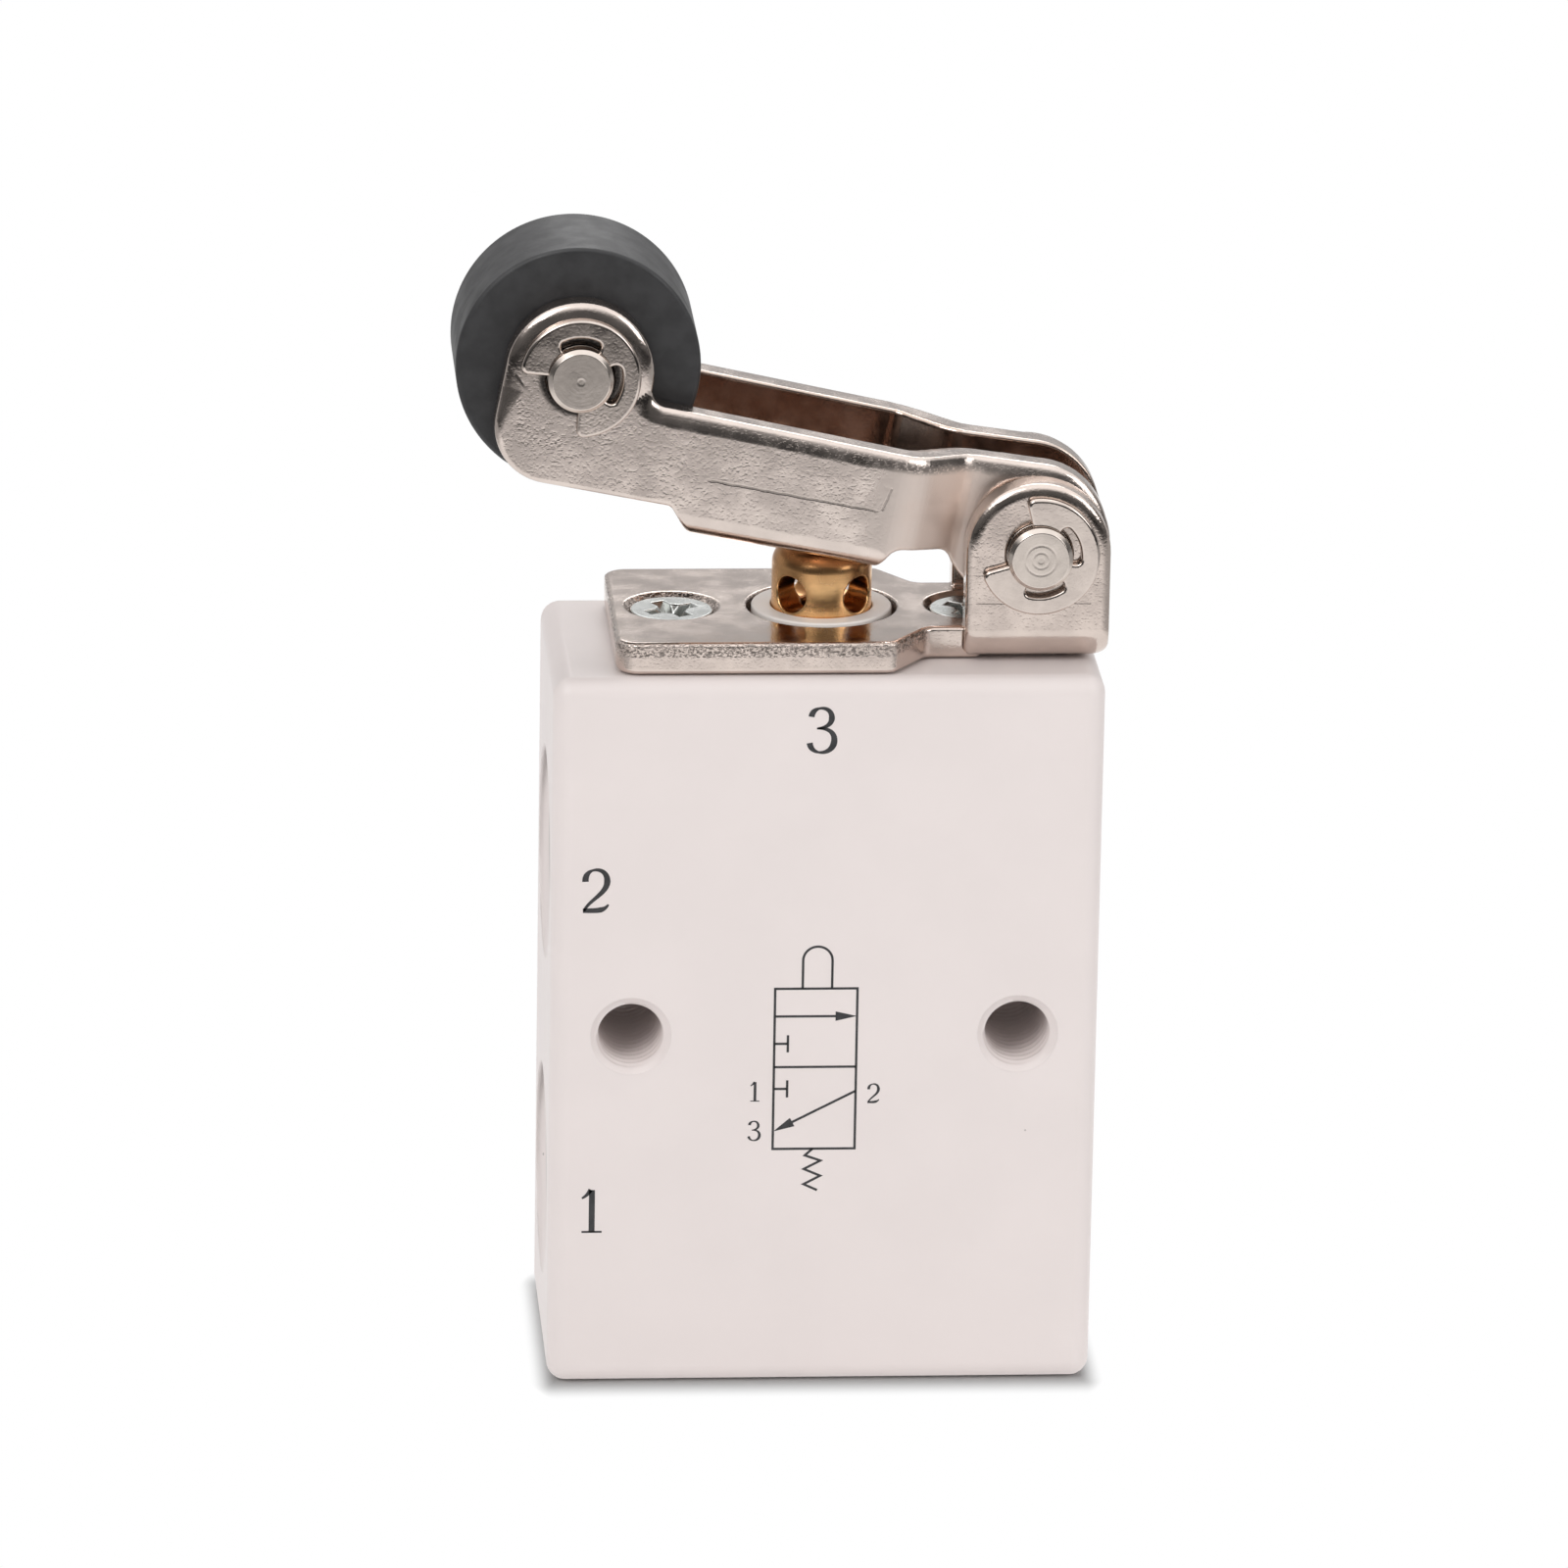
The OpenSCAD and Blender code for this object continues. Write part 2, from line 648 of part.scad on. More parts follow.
module bottom_plug() {
    ring_z = plug_bottom + plug_ring_rise;
    groove_h = static_ring_t + ring_room;
    color([0.78, 0.78, 0.76]) difference() {
        bore(plug_bore_d - 2 * fixed_fit, plug_bottom, plug_bore_depth);
        bore(poppet_stem_d + 2 * running_fit, plug_bore_depth - guide_depth, plug_bore_depth + over);
        difference() {
            bore(plug_bore_d + over, ring_z - groove_h / 2, ring_z + groove_h / 2);
            bore(plug_bore_d - 2 * static_ring_t, ring_z - groove_h, ring_z + groove_h);
        }
    }
}

module plug_o_ring() {
    color([0.1, 0.1, 0.1]) o_ring(plug_bore_d, static_ring_t, plug_bottom + plug_ring_rise);
}

// Internal retaining ring: an open ring with two drilled lugs at its mouth
module plug_circlip() {
    outer_r = circlip_r - fixed_fit;
    inner_r = outer_r - circlip_w;
    lug_turn = circlip_mouth_half + lug_r / inner_r * 180 / PI;
    mouth_x = 2 * outer_r * sin(circlip_mouth_half);
    mouth_y = -2 * outer_r * cos(circlip_mouth_half);
    color([0.3, 0.3, 0.32]) translate([0, 0, circlip_z]) linear_extrude(circlip_t) difference() {
        union() {
            difference() {
                circle(outer_r);
                circle(inner_r);
                polygon([[0, 0], [-mouth_x, mouth_y], [mouth_x, mouth_y]]);
            }
            for (s = [-1, 1]) translate(inner_r * [s * sin(lug_turn), -cos(lug_turn)]) circle(lug_r);
        }
        for (s = [-1, 1]) translate(inner_r * [s * sin(lug_turn), -cos(lug_turn)]) circle(d = lug_hole_d);
    }
}

// The lever from the front: head, arm, web and round end, about the pivot
module lever_outline() {
    head_top = roller_rise + head_r;
    notch_x = -sqrt(pow(end_r + notch_r, 2) - pow(arm_drop + notch_r, 2));
    notch_y = -arm_drop - notch_r;
    rounded_outline([
        [-lever_reach - head_r, -arm_drop, chin_r],
        [-web_far - web_slope_far, -arm_drop, web_corner_r],
        [-web_far, -web_drop, web_corner_r],
        [-web_near, -web_drop, web_corner_r],
        [-web_near + web_slope_near, -arm_drop, notch_r],
        [0, -arm_drop, 0],
        [0, end_r, 0],
        [-jog_far, waist_top, waist_r],
        [-lever_reach + head_r, arm_top, notch_r],
        [-lever_reach + head_r, roller_rise, 0],
        [-lever_reach - head_r, roller_rise, 0]
    ]);
    translate([-lever_reach, roller_rise]) circle(head_r);
    circle(end_r);
    difference() {
        polygon([[notch_x, -arm_drop], [notch_x, notch_y], [0, 0], [0, -arm_drop]]);
        translate([notch_x, notch_y]) circle(notch_r);
    }
}

// The lever from above: wide beside the roller, jogged in to its narrow end, at either face of the sheet
module lever_plan(wide, narrow, shift, far_r, near_r) {
    far_x = -lever_reach - head_r - over;
    near_x = end_r + over;
    rounded_outline([
        [far_x, -wide, 0],
        [-jog_far - shift, -wide, far_r],
        [-jog_near - shift, -narrow, near_r],
        [near_x, -narrow, 0],
        [near_x, narrow, 0],
        [-jog_near - shift, narrow, near_r],
        [-jog_far - shift, wide, far_r],
        [far_x, wide, 0]
    ]);
}

// Outside of the bend along one lower edge of the web, to be cut away
module web_bend(side) {
    along_x(-web_far - web_slope_far, -web_near + web_slope_near)
        corner_piece([-side * wide_out, -web_drop], [side * wide_out, -web_drop],
            [side * wide_out, arm_top], web_bend_r);
}

module lever() {
    low = -end_r - over;
    high = roller_rise + head_r + over;
    color([0.74, 0.7, 0.67]) on_lever() difference() {
        intersection() {
            translate([0, 0, low]) linear_extrude(high - low)
                lever_plan(wide_out, narrow_out, 0, jog_bend_r, jog_inner_r);
            across(-wide_out - over, wide_out + over) lever_outline();
        }
        translate([0, 0, -arm_drop]) linear_extrude(high)
            lever_plan(wide_in, narrow_in, jog_shift, jog_inner_r, jog_bend_r);
        translate([0, 0, low]) linear_extrude(high - low) intersection() {
            lever_plan(wide_in, narrow_in, jog_shift, jog_inner_r, jog_bend_r);
            translate([-web_near + web_slope_near, -wide_in]) square([web_near + end_r, 2 * wide_in]);
        }
        for (side = [-1, 1]) web_bend(side);
        rotate([90, 0, 0]) cylinder(d = pin_d + 2 * running_fit, h = 4 * wide_out, center = true);
        translate([-lever_reach, 0, roller_rise]) rotate([90, 0, 0])
            cylinder(d = pin_d + 2 * fixed_fit, h = 4 * wide_out, center = true);
    }
}

module roller() {
    inner = pin_d / 2 + running_fit;
    outer = roller_d / 2;
    half = roller_w / 2;
    color([0.2, 0.2, 0.21]) on_roller_pin() rotate([90, 0, 0]) rotate_extrude() rounded_outline([
        [inner, -half, 0], [outer, -half, roller_edge_r], [outer, half, roller_edge_r], [inner, half, 0]
    ]);
}

// Pin along Y through sheets whose outer faces are half_span apart from the middle
module headed_pin(half_span) {
    r = pin_d / 2;
    head = pin_head_d / 2;
    tail = half_span + pin_tail;
    groove_0 = half_span + fixed_fit;
    groove_1 = groove_0 + e_ring_t + 2 * fixed_fit;
    back = half_span + pin_head_h;
    rotate([90, 0, 0]) rotate_extrude() polygon([
        [0, -back], [head - pin_edge, -back], [head, -back + pin_edge], [head, -half_span], [r, -half_span],
        [r, groove_0], [groove_d / 2, groove_0], [groove_d / 2, groove_1], [r, groove_1],
        [r, tail - pin_edge], [r - pin_edge, tail], [0, tail]
    ]);
}

// Slice of the plane between two angles, long enough to cut a ring
module slice(from, to) {
    steps = 4;
    far = 2 * e_ring_d;
    polygon([[0, 0], for (i = [0:steps]) let (a = from + (to - from) * i / steps) far * [cos(a), sin(a)]]);
}

// E-ring in front of a pin's sheet: three prongs in the groove, two windows and a mouth
module e_ring(half_span, mouth_angle) {
    front = half_span + 2 * fixed_fit;
    across(-front - e_ring_t, -front) rotate(mouth_angle) difference() {
        circle(d = e_ring_d);
        circle(d = groove_d + 2 * fixed_fit);
        slice(-ring_mouth_half, ring_mouth_half);
        for (side = [0, 1]) mirror([0, side]) intersection() {
            circle(pin_d / 2 + window_deep);
            slice(window_from, window_to);
        }
    }
}

module roller_pin() {
    color([0.66, 0.64, 0.63]) on_roller_pin() headed_pin(wide_out);
}

module roller_e_ring() {
    color([0.6, 0.57, 0.55]) on_roller_pin() e_ring(wide_out, roller_ring_mouth + lever_tilt);
}

module pivot_pin() {
    color([0.72, 0.69, 0.67]) translate([pivot_x, 0, pivot_z]) headed_pin(ear_out);
}

module pivot_e_ring() {
    color([0.72, 0.68, 0.65]) translate([pivot_x, 0, pivot_z]) e_ring(ear_out, pivot_ring_mouth);
}

valve_body();
lever_bracket();
bracket_screws();
guide_bush();
bush_o_ring();
plunger();
plunger_o_ring();
plunger_spring();
poppet();
poppet_seal();
poppet_spring();
bottom_plug();
plug_o_ring();
plug_circlip();
lever();
roller();
roller_pin();
roller_e_ring();
pivot_pin();
pivot_e_ring();
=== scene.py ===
"""Looks of a roller lever air valve: its surfaces, finishes, light and camera, round the fixed frame.

Sizes are millimetres in the valve's own frame, +Z up, with the ports towards -X and the marked face
towards -Y. Meshes are put into Blender in metres.
"""
import json
import logging
import math
from collections.abc import Callable, Sequence
from dataclasses import dataclass, field, replace
from enum import Enum

import bmesh
import bpy
import numpy as np
from mathutils import Matrix, Vector


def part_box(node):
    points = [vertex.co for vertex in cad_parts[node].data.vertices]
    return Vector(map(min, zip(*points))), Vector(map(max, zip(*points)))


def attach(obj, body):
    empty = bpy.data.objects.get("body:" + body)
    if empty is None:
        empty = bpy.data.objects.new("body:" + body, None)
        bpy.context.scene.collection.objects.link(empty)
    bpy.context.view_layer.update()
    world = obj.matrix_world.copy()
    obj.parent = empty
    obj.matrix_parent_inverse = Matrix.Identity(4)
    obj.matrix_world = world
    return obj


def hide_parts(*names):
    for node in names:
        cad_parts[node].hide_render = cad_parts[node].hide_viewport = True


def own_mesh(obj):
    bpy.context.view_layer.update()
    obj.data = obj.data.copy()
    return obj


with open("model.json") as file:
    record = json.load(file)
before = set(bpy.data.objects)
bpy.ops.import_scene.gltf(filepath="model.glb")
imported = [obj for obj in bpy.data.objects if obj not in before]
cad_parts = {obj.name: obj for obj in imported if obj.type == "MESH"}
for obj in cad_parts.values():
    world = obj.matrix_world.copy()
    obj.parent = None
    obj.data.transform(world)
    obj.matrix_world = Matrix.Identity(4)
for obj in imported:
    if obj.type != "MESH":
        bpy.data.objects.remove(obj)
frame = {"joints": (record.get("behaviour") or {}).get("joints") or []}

LOG = logging.getLogger("valve")
MM = 0.001  # metres
DOUBLED = 1e-4  # millimetres within which two points count as one
FAR = 9.0  # millimetres that count as far outside a solid
GRID_MARGIN = (2.3, 2.7)  # steps by which a grid passes its box, not whole, so that faces miss its samples
LEAST_SLOPE = 0.2  # squared gradient below which a settling step grows no more
COLOUR_INPUTS = (6, 7)  # sockets of a Mix node that take colours
COLOUR_OUTPUT = 2  # socket of a Mix node that gives a colour
PHOTO_SIZE = 1600  # pixels

Array = np.ndarray
Socket = bpy.types.NodeSocket
Pair = tuple[float, float]
Triple = tuple[float, float, float]
Row = tuple[float, ...]
Rgba = tuple[float, float, float, float]
Corner = Triple
Colour = Triple
Shape = Callable[[Array, Array, Array], Array]


class Body(Enum):
    """The bodies that pieces ride on."""

    VALVE = "valve"
    LEVER = "lever_arm"
    ROLLER = "roller_wheel"
    PLUNGER = "plunger_rod"
    POPPET = "poppet_disc"


class Axis(Enum):
    """Ways in which a turned piece's own axis, its local z, can point: the images of local x, y and z."""

    UP = ((1, 0, 0), (0, 1, 0), (0, 0, 1))
    FRONT = ((1, 0, 0), (0, 0, 1), (0, -1, 0))
    LEFT = ((0, 0, 1), (0, 1, 0), (-1, 0, 0))


@dataclass
class Surface:
    """A surface in millimetres: points, faces, one normal for each point, and named values for each point."""

    points: Array
    faces: list[list[int]]
    normals: Array | None = None
    marks: dict[str, Array] = field(default_factory=dict)

    def placed(self, axis: Axis, at: Sequence[float]) -> "Surface":
        """Turns the surface's local z to an axis and moves its origin to a place.

        Args:
            axis: where local z points.
            at: where the local origin goes.

        Returns:
            The placed surface.
        """
        turn = np.array(axis.value, float)
        normals = None if self.normals is None else self.normals @ turn
        return Surface(self.points @ turn + np.array(at, float), self.faces, normals, self.marks)

    def joined(self, other: "Surface") -> "Surface":
        """Puts this surface and another one together as separate shells.

        Args:
            other: the other surface.

        Returns:
            Both as one mesh, without their marks.
        """
        count = len(self.points)
        faces = self.faces + [[count + i for i in face] for face in other.faces]
        normals = None
        if self.normals is not None and other.normals is not None:
            normals = np.concatenate([self.normals, other.normals])
        return Surface(np.concatenate([self.points, other.points]), faces, normals)


def unit(vector: Array) -> Array:
    """Returns vectors divided by their lengths."""
    return vector / np.maximum(np.linalg.norm(vector, axis=-1, keepdims=True), 1e-12)


def rounded(corners: Sequence[Corner], step: float = 6.0) -> tuple[Array, Array]:
    """Outline through corners (x, y, radius): each corner becomes an arc that touches its two sides.

    Args:
        corners: the corners, anticlockwise. A radius of 0 keeps a corner as one point.
        step: the largest turn between two points of an arc, in degrees.

    Returns:
        The points, and their normals away from the inside.
    """
    spots = np.array([corner[:2] for corner in corners], float)
    points, normals = [], []
    for before, spot, after, corner in zip(np.roll(spots, 1, 0), spots, np.roll(spots, -1, 0), corners):
        back, onward = unit(before - spot), unit(after - spot)
        radius = corner[2]
        half = math.acos(float(np.clip(back @ onward, -1, 1))) / 2
        if radius == 0 or half > math.radians(89.9):
            points.append(spot[None])
            normals.append(unit(np.array([[onward[1] - back[1], back[0] - onward[0]]])))
            continue
        centre = spot + unit(back + onward) * radius / math.sin(half)
        start = spot + back * radius / math.tan(half) - centre
        end = spot + onward * radius / math.tan(half) - centre
        sweep = math.atan2(start[0] * end[1] - start[1] * end[0], start @ end)
        count = max(2, math.ceil(abs(math.degrees(sweep)) / step) + 1)
        angles = math.atan2(start[1], start[0]) + np.linspace(0, sweep, count)
        arc = np.stack([np.cos(angles), np.sin(angles)], -1)
        points.append(centre + radius * arc)
        normals.append(arc * np.sign(sweep))
    outline, away = np.concatenate(points), np.concatenate(normals)
    apart = np.linalg.norm(outline - np.roll(outline, -1, 0), axis=-1) > DOUBLED
    return outline[apart], away[apart]


def fade(start: float, slope: float, distance: Array) -> Array:
    """Returns a share that starts at a value and falls by a slope over a distance, held to 0..1."""
    return np.clip(start - slope * distance, 0, 1)


def outline_distance(outline: Array, u: Array, v: Array) -> Array:
    """Distance from points (u, v) to a closed outline, negative inside it.

    The distance is the least one to any side, and its sign comes from how often a ray crosses the outline.

    Args:
        outline: the outline's points.
        u, v: coordinates, which broadcast.

    Returns:
        The signed distances.
    """
    u, v = np.broadcast_arrays(u, v)
    best = np.full(u.shape, np.inf)
    inside = np.zeros(u.shape, bool)
    for (ax, ay), (bx, by) in zip(outline, np.roll(outline, -1, 0)):
        ex, ey = bx - ax, by - ay
        px, py = u - ax, v - ay
        share = np.clip((px * ex + py * ey) / (ex * ex + ey * ey), 0, 1)
        best = np.minimum(best, (px - ex * share) ** 2 + (py - ey * share) ** 2)
        if ey != 0:
            inside ^= ((ay > v) != (by > v)) & (px < ex * py / ey)
    return np.where(inside, -1.0, 1.0) * np.sqrt(best)


def cut(a: Array, b: Array, r: float | Array) -> Array:
    """Distance to what two solids share: the larger distance, with the edge between them rounded to r."""
    return np.minimum(np.maximum(a, b), -r) + np.hypot(np.maximum(a + r, 0), np.maximum(b + r, 0))


def join(a: Array, b: Array, r: float) -> Array:
    """Distance to two solids together: the smaller distance, with the corner between them filled to r."""
    return np.maximum(np.minimum(a, b), r) - np.hypot(np.maximum(r - a, 0), np.maximum(r - b, 0))


def slab(u: Array, low: float, high: float) -> Array:
    """Distance to the space between two planes: how far u is from their middle, less half their distance."""
    return np.abs(u - (low + high) / 2) - (high - low) / 2


def slope_of(shape: Shape, points: Array, reach: float = 0.002) -> tuple[Array, Array]:
    """Distance and its gradient at points, by differences over a short reach.

    Args:
        shape: the distance function.
        points: the points, one row each.
        reach: half the length of a difference.

    Returns:
        The distances and the gradients.
    """
    x, y, z = points.T
    gradient = np.stack([
        shape(x + reach, y, z) - shape(x - reach, y, z),
        shape(x, y + reach, z) - shape(x, y - reach, z),
        shape(x, y, z + reach) - shape(x, y, z - reach),
    ], -1) / (2 * reach)
    return shape(x, y, z), gradient


def surface_net(values: Array, origin: Array, step: float) -> tuple[Array, Array]:
    """Surface net of a sampled distance, as quads.

    Each cell that the surface crosses gets one point, the mean of the crossings on the cell's twelve edges.
    Each grid edge that the surface crosses gets one quad, between the four cells round it.

    Args:
        values: distances on a grid, negative inside.
        origin: where the grid's first sample lies.
        step: distance between samples.

    Returns:
        The points and the quads, which face outwards.
    """
    inside = values < 0
    offsets = np.array([[i, j, k] for i in (0, 1) for j in (0, 1) for k in (0, 1)])
    size = np.array(values.shape) - 1
    filled = sum(inside[i:i + size[0], j:j + size[1], k:k + size[2]].astype(np.int8) for i, j, k in offsets)
    cells = np.argwhere((filled > 0) & (filled < 8))
    corner = cells[:, None, :] + offsets[None]
    level = values[corner[..., 0], corner[..., 1], corner[..., 2]].astype(float)
    edges = [(a, b) for a in range(8) for b in range(a + 1, 8) if abs(offsets[a] - offsets[b]).sum() == 1]
    first, second = np.array(edges).T
    la, lb = level[:, first], level[:, second]
    crossed = (la < 0) != (lb < 0)
    share = np.where(crossed, la / np.where(crossed, la - lb, 1), 0)
    spots = offsets[first] + share[..., None] * (offsets[second] - offsets[first])
    middle = (spots * crossed[..., None]).sum(1) / crossed.sum(1)[:, None]
    points = origin + (cells + middle) * step
    ids = np.full(size, -1, np.int64)
    ids[tuple(cells.T)] = np.arange(len(cells))
    quads = []
    for axis in range(3):
        a, b = (axis + 1) % 3, (axis + 2) % 3
        low = np.take(inside, range(size[axis]), axis)
        high = np.take(inside, range(1, size[axis] + 1), axis)
        at = np.argwhere(low != high)
        at = at[(at[:, a] > 0) & (at[:, b] > 0) & (at[:, a] < size[a]) & (at[:, b] < size[b])]
        da, db = np.eye(3, dtype=int)[a], np.eye(3, dtype=int)[b]
        ring = np.stack([ids[tuple((at - s).T)] for s in (da + db, db, 0 * da, da)], -1)
        outwards = low[tuple(at.T)]
        quads.append(np.where(outwards[:, None], ring, ring[:, ::-1]))
    return points, np.concatenate(quads)


def solid(shape: Shape, low: Sequence[float], high: Sequence[float], step: float, passes: int = 3) -> Surface:
    """Surface of a solid given by its distance function, with smooth normals.

    The solid is sampled on an even grid, turned into a surface net, and each point is then moved along the
    gradient until it lies on the surface.

    Args:
        shape: the distance function, which takes coordinates that broadcast.
        low, high: corners of a box round the solid.
        step: distance between samples.
        passes: how often the points are moved.

    Returns:
        The surface.
    """
    before, past = (share * step for share in GRID_MARGIN)
    axes = [np.arange(a - before, b + past, step) for a, b in zip(low, high)]
    values = shape(axes[0][:, None, None], axes[1][None, :, None], axes[2][None, None, :])
    values = np.broadcast_to(values, [len(axis) for axis in axes])
    points, quads = surface_net(values, np.array([axis[0] for axis in axes]), step)
    for _ in range(passes):
        distance, gradient = slope_of(shape, points)
        steep = np.maximum((gradient ** 2).sum(-1), LEAST_SLOPE)
        move = np.clip(distance / steep, -step, step)
        points = points - move[:, None] * gradient
    return Surface(points, quads.tolist(), unit(slope_of(shape, points)[1]))


def strip_faces(rows: int, columns: int, wrap_rows: bool, wrap_columns: bool) -> list[list[int]]:
    """Quads of a grid of points that is stored row by row.

    Args:
        rows, columns: the grid's size.
        wrap_rows, wrap_columns: whether the last row or column joins the first.

    Returns:
        The quads.
    """
    starts = np.arange(rows - (not wrap_rows)), np.arange(columns - (not wrap_columns))
    i, j = np.meshgrid(*starts, indexing="ij")
    i, j = i.ravel(), j.ravel()
    i2, j2 = (i + 1) % rows, (j + 1) % columns
    return np.stack([i * columns + j, i * columns + j2, i2 * columns + j2, i2 * columns + j], -1).tolist()


def turned(corners: Sequence[Corner], steps: int = 96) -> Surface:
    """Surface of revolution about local z of a profile with rounded corners.

    A profile of corners (radius, height, rounding) that starts and ends on the axis gives a solid with a pole
    at each end, and one that stays off the axis gives a ring.

    Args:
        corners: the profile, anticlockwise with the radius to the right.
        steps: points round the axis.

    Returns:
        The surface.
    """
    profile, slopes = rounded(corners)
    ring = min(corner[0] for corner in corners) > 0
    angles = np.linspace(0, 2 * math.pi, steps, endpoint=False)
    if not ring:
        ends, profile, slopes = profile[[0, -1]], profile[1:-1], slopes[1:-1]
    spin = np.stack([np.cos(angles), np.sin(angles)], -1)[None]
    points = np.concatenate([spin * profile[:, None, :1], np.repeat(profile[:, None, 1:], steps, 1)], -1)
    normals = np.concatenate([spin * slopes[:, None, :1], np.repeat(slopes[:, None, 1:], steps, 1)], -1)
    points, normals = points.reshape(-1, 3), normals.reshape(-1, 3)
    rows = len(profile)
    faces = strip_faces(rows, steps, ring, True)
    if not ring:
        low, high = len(points), len(points) + 1
        last = (rows - 1) * steps
        points = np.concatenate([points, [[0, 0, ends[0, 1]], [0, 0, ends[1, 1]]]])
        normals = np.concatenate([normals, [[0, 0, -1], [0, 0, 1]]])
        faces += [[low, (k + 1) % steps, k] for k in range(steps)]
        faces += [[high, last + k, last + (k + 1) % steps] for k in range(steps)]
    return Surface(points, faces, normals)


def round_bar(radius: float, low: float, high: float, edge: float) -> Surface:
    """Returns a cylinder about local z with rounded edges."""
    return turned([(0, low, 0), (radius, low, edge), (radius, high, edge), (0, high, 0)])


def make_object(name: str, surface: Surface) -> bpy.types.Object:
    """Puts a surface into Blender as an object at the origin.

    Args:
        name: the piece's name.
        surface: its surface, in millimetres.

    Returns:
        The object, linked into the scene.
    """
    mesh = bpy.data.meshes.new(name)
    mesh.from_pydata((surface.points * MM).tolist(), [], surface.faces)
    mesh.polygons.foreach_set("use_smooth", np.ones(len(mesh.polygons), bool))
    for mark, values in surface.marks.items():
        attribute = mesh.attributes.new(mark, "FLOAT", "POINT")
        attribute.data.foreach_set("value", values.astype(np.float32))
    if surface.normals is not None:
        mesh.normals_split_custom_set_from_vertices(surface.normals.tolist())
    mesh.update()
    piece = bpy.data.objects.new(name, mesh)
    bpy.context.scene.collection.objects.link(piece)
    return piece


class Nodes:
    """Short ways to add and join the nodes of one node tree."""

    def __init__(self, tree: bpy.types.NodeTree) -> None:
        """Starts with an empty tree."""
        self.tree = tree
        tree.nodes.clear()

    def put(self, socket: Socket, value: object) -> None:
        """Joins an output to an input, or sets the input's own value.

        Args:
            socket: the input.
            value: the output to join to it, or the value to set.
        """
        if isinstance(value, Socket):
            self.tree.links.new(value, socket)
        else:
            socket.default_value = value

    def add(self, kind: str, inputs: dict[str | int, object] | None = None,
            **settings: object) -> bpy.types.Node:
        """Adds a node.

        Args:
            kind: the node's type.
            inputs: values or outputs for its inputs, by name or number.
            settings: the node's own properties.

        Returns:
            The node.
        """
        node = self.tree.nodes.new(kind)
        for name, value in settings.items():
            setattr(node, name, value)
        for name, value in (inputs or {}).items():
            self.put(node.inputs[name], value)
        return node

    def math(self, operation: str, a: object, b: object = 0.0, clamp: bool = False) -> Socket:
        """Returns the output of a Math node."""
        return self.add("ShaderNodeMath", {0: a, 1: b}, operation=operation, use_clamp=clamp).outputs[0]

    def ramp(self, value: object, low: float, high: float, start: float = 0.0, end: float = 1.0) -> object:
        """Returns a value taken smoothly from low..high to start..end, and held outside."""
        inputs = {"Value": value, "From Min": low, "From Max": high, "To Min": start, "To Max": end}
        return self.add("ShaderNodeMapRange", inputs, interpolation_type="SMOOTHSTEP").outputs[0]

    def place(self, at: Sequence[float] = (0, 0, 0), turn: Sequence[float] = (0, 0, 0),
              scale: Sequence[float] = (1, 1, 1)) -> Socket:
        """Adds Object coordinates about a point, turned and scaled.

        Args:
            at: the point, in millimetres.
            turn: the turn about each axis, in radians.
            scale: the length along each axis that counts as one.

        Returns:
            The coordinates.
        """
        where = self.add("ShaderNodeTexCoord").outputs["Object"]
        inputs = {"Vector": where, "Location": [c * MM for c in at], "Rotation": turn, "Scale": scale}
        return self.add("ShaderNodeMapping", inputs, vector_type="TEXTURE").outputs[0]

    def mark(self, name: str) -> Socket:
        """Returns a share from 0 to 1 that the mesh carries at its points."""
        return self.add("ShaderNodeAttribute", attribute_name=name).outputs["Fac"]

    def noise(self, where: object, size: float, detail: float = 2.0, distortion: float = 0.0) -> object:
        """Returns noise whose patches are about size millimetres across."""
        inputs = {"Vector": where, "Scale": 1 / (size * MM), "Detail": detail, "Distortion": distortion}
        return self.add("ShaderNodeTexNoise", inputs).outputs[0]

    def blend(self, share: object, a: object, b: object) -> Socket:
        """Mixes two colours.

        Args:
            share: how much of the second colour there is, from 0 to 1.
            a, b: the colours.

        Returns:
            The mixed colour.
        """
        node = self.add("ShaderNodeMix", {0: share}, data_type="RGBA")
        for number, colour in zip(COLOUR_INPUTS, (a, b)):
            self.put(node.inputs[number], colour)
        return node.outputs[COLOUR_OUTPUT]

    def relief(self, height: object, depth: float, before: object = None) -> Socket:
        """Bumps a normal by a height.

        Args:
            height: the height, from 0 to 1.
            depth: what a height of 1 stands for, in millimetres. It is negative for hollows.
            before: the normal to start from, if it isn't the mesh's own.

        Returns:
            The bumped normal.
        """
        node = self.add("ShaderNodeBump", {"Strength": 1.0, "Distance": depth * MM, "Height": height})
        if before is not None:
            self.put(node.inputs["Normal"], before)
        return node.outputs[0]


def rgba(colour: Colour, factor: float = 1.0) -> Rgba:
    """Returns a colour, made lighter or darker, with full alpha."""
    return (*(min(1.0, c * factor) for c in colour), 1.0)


def shaded(colour: Colour, shares: Colour) -> Rgba:
    """Returns a colour with each of its parts taken to a share, with full alpha."""
    return (*(c * share for c, share in zip(colour, shares)), 1.0)


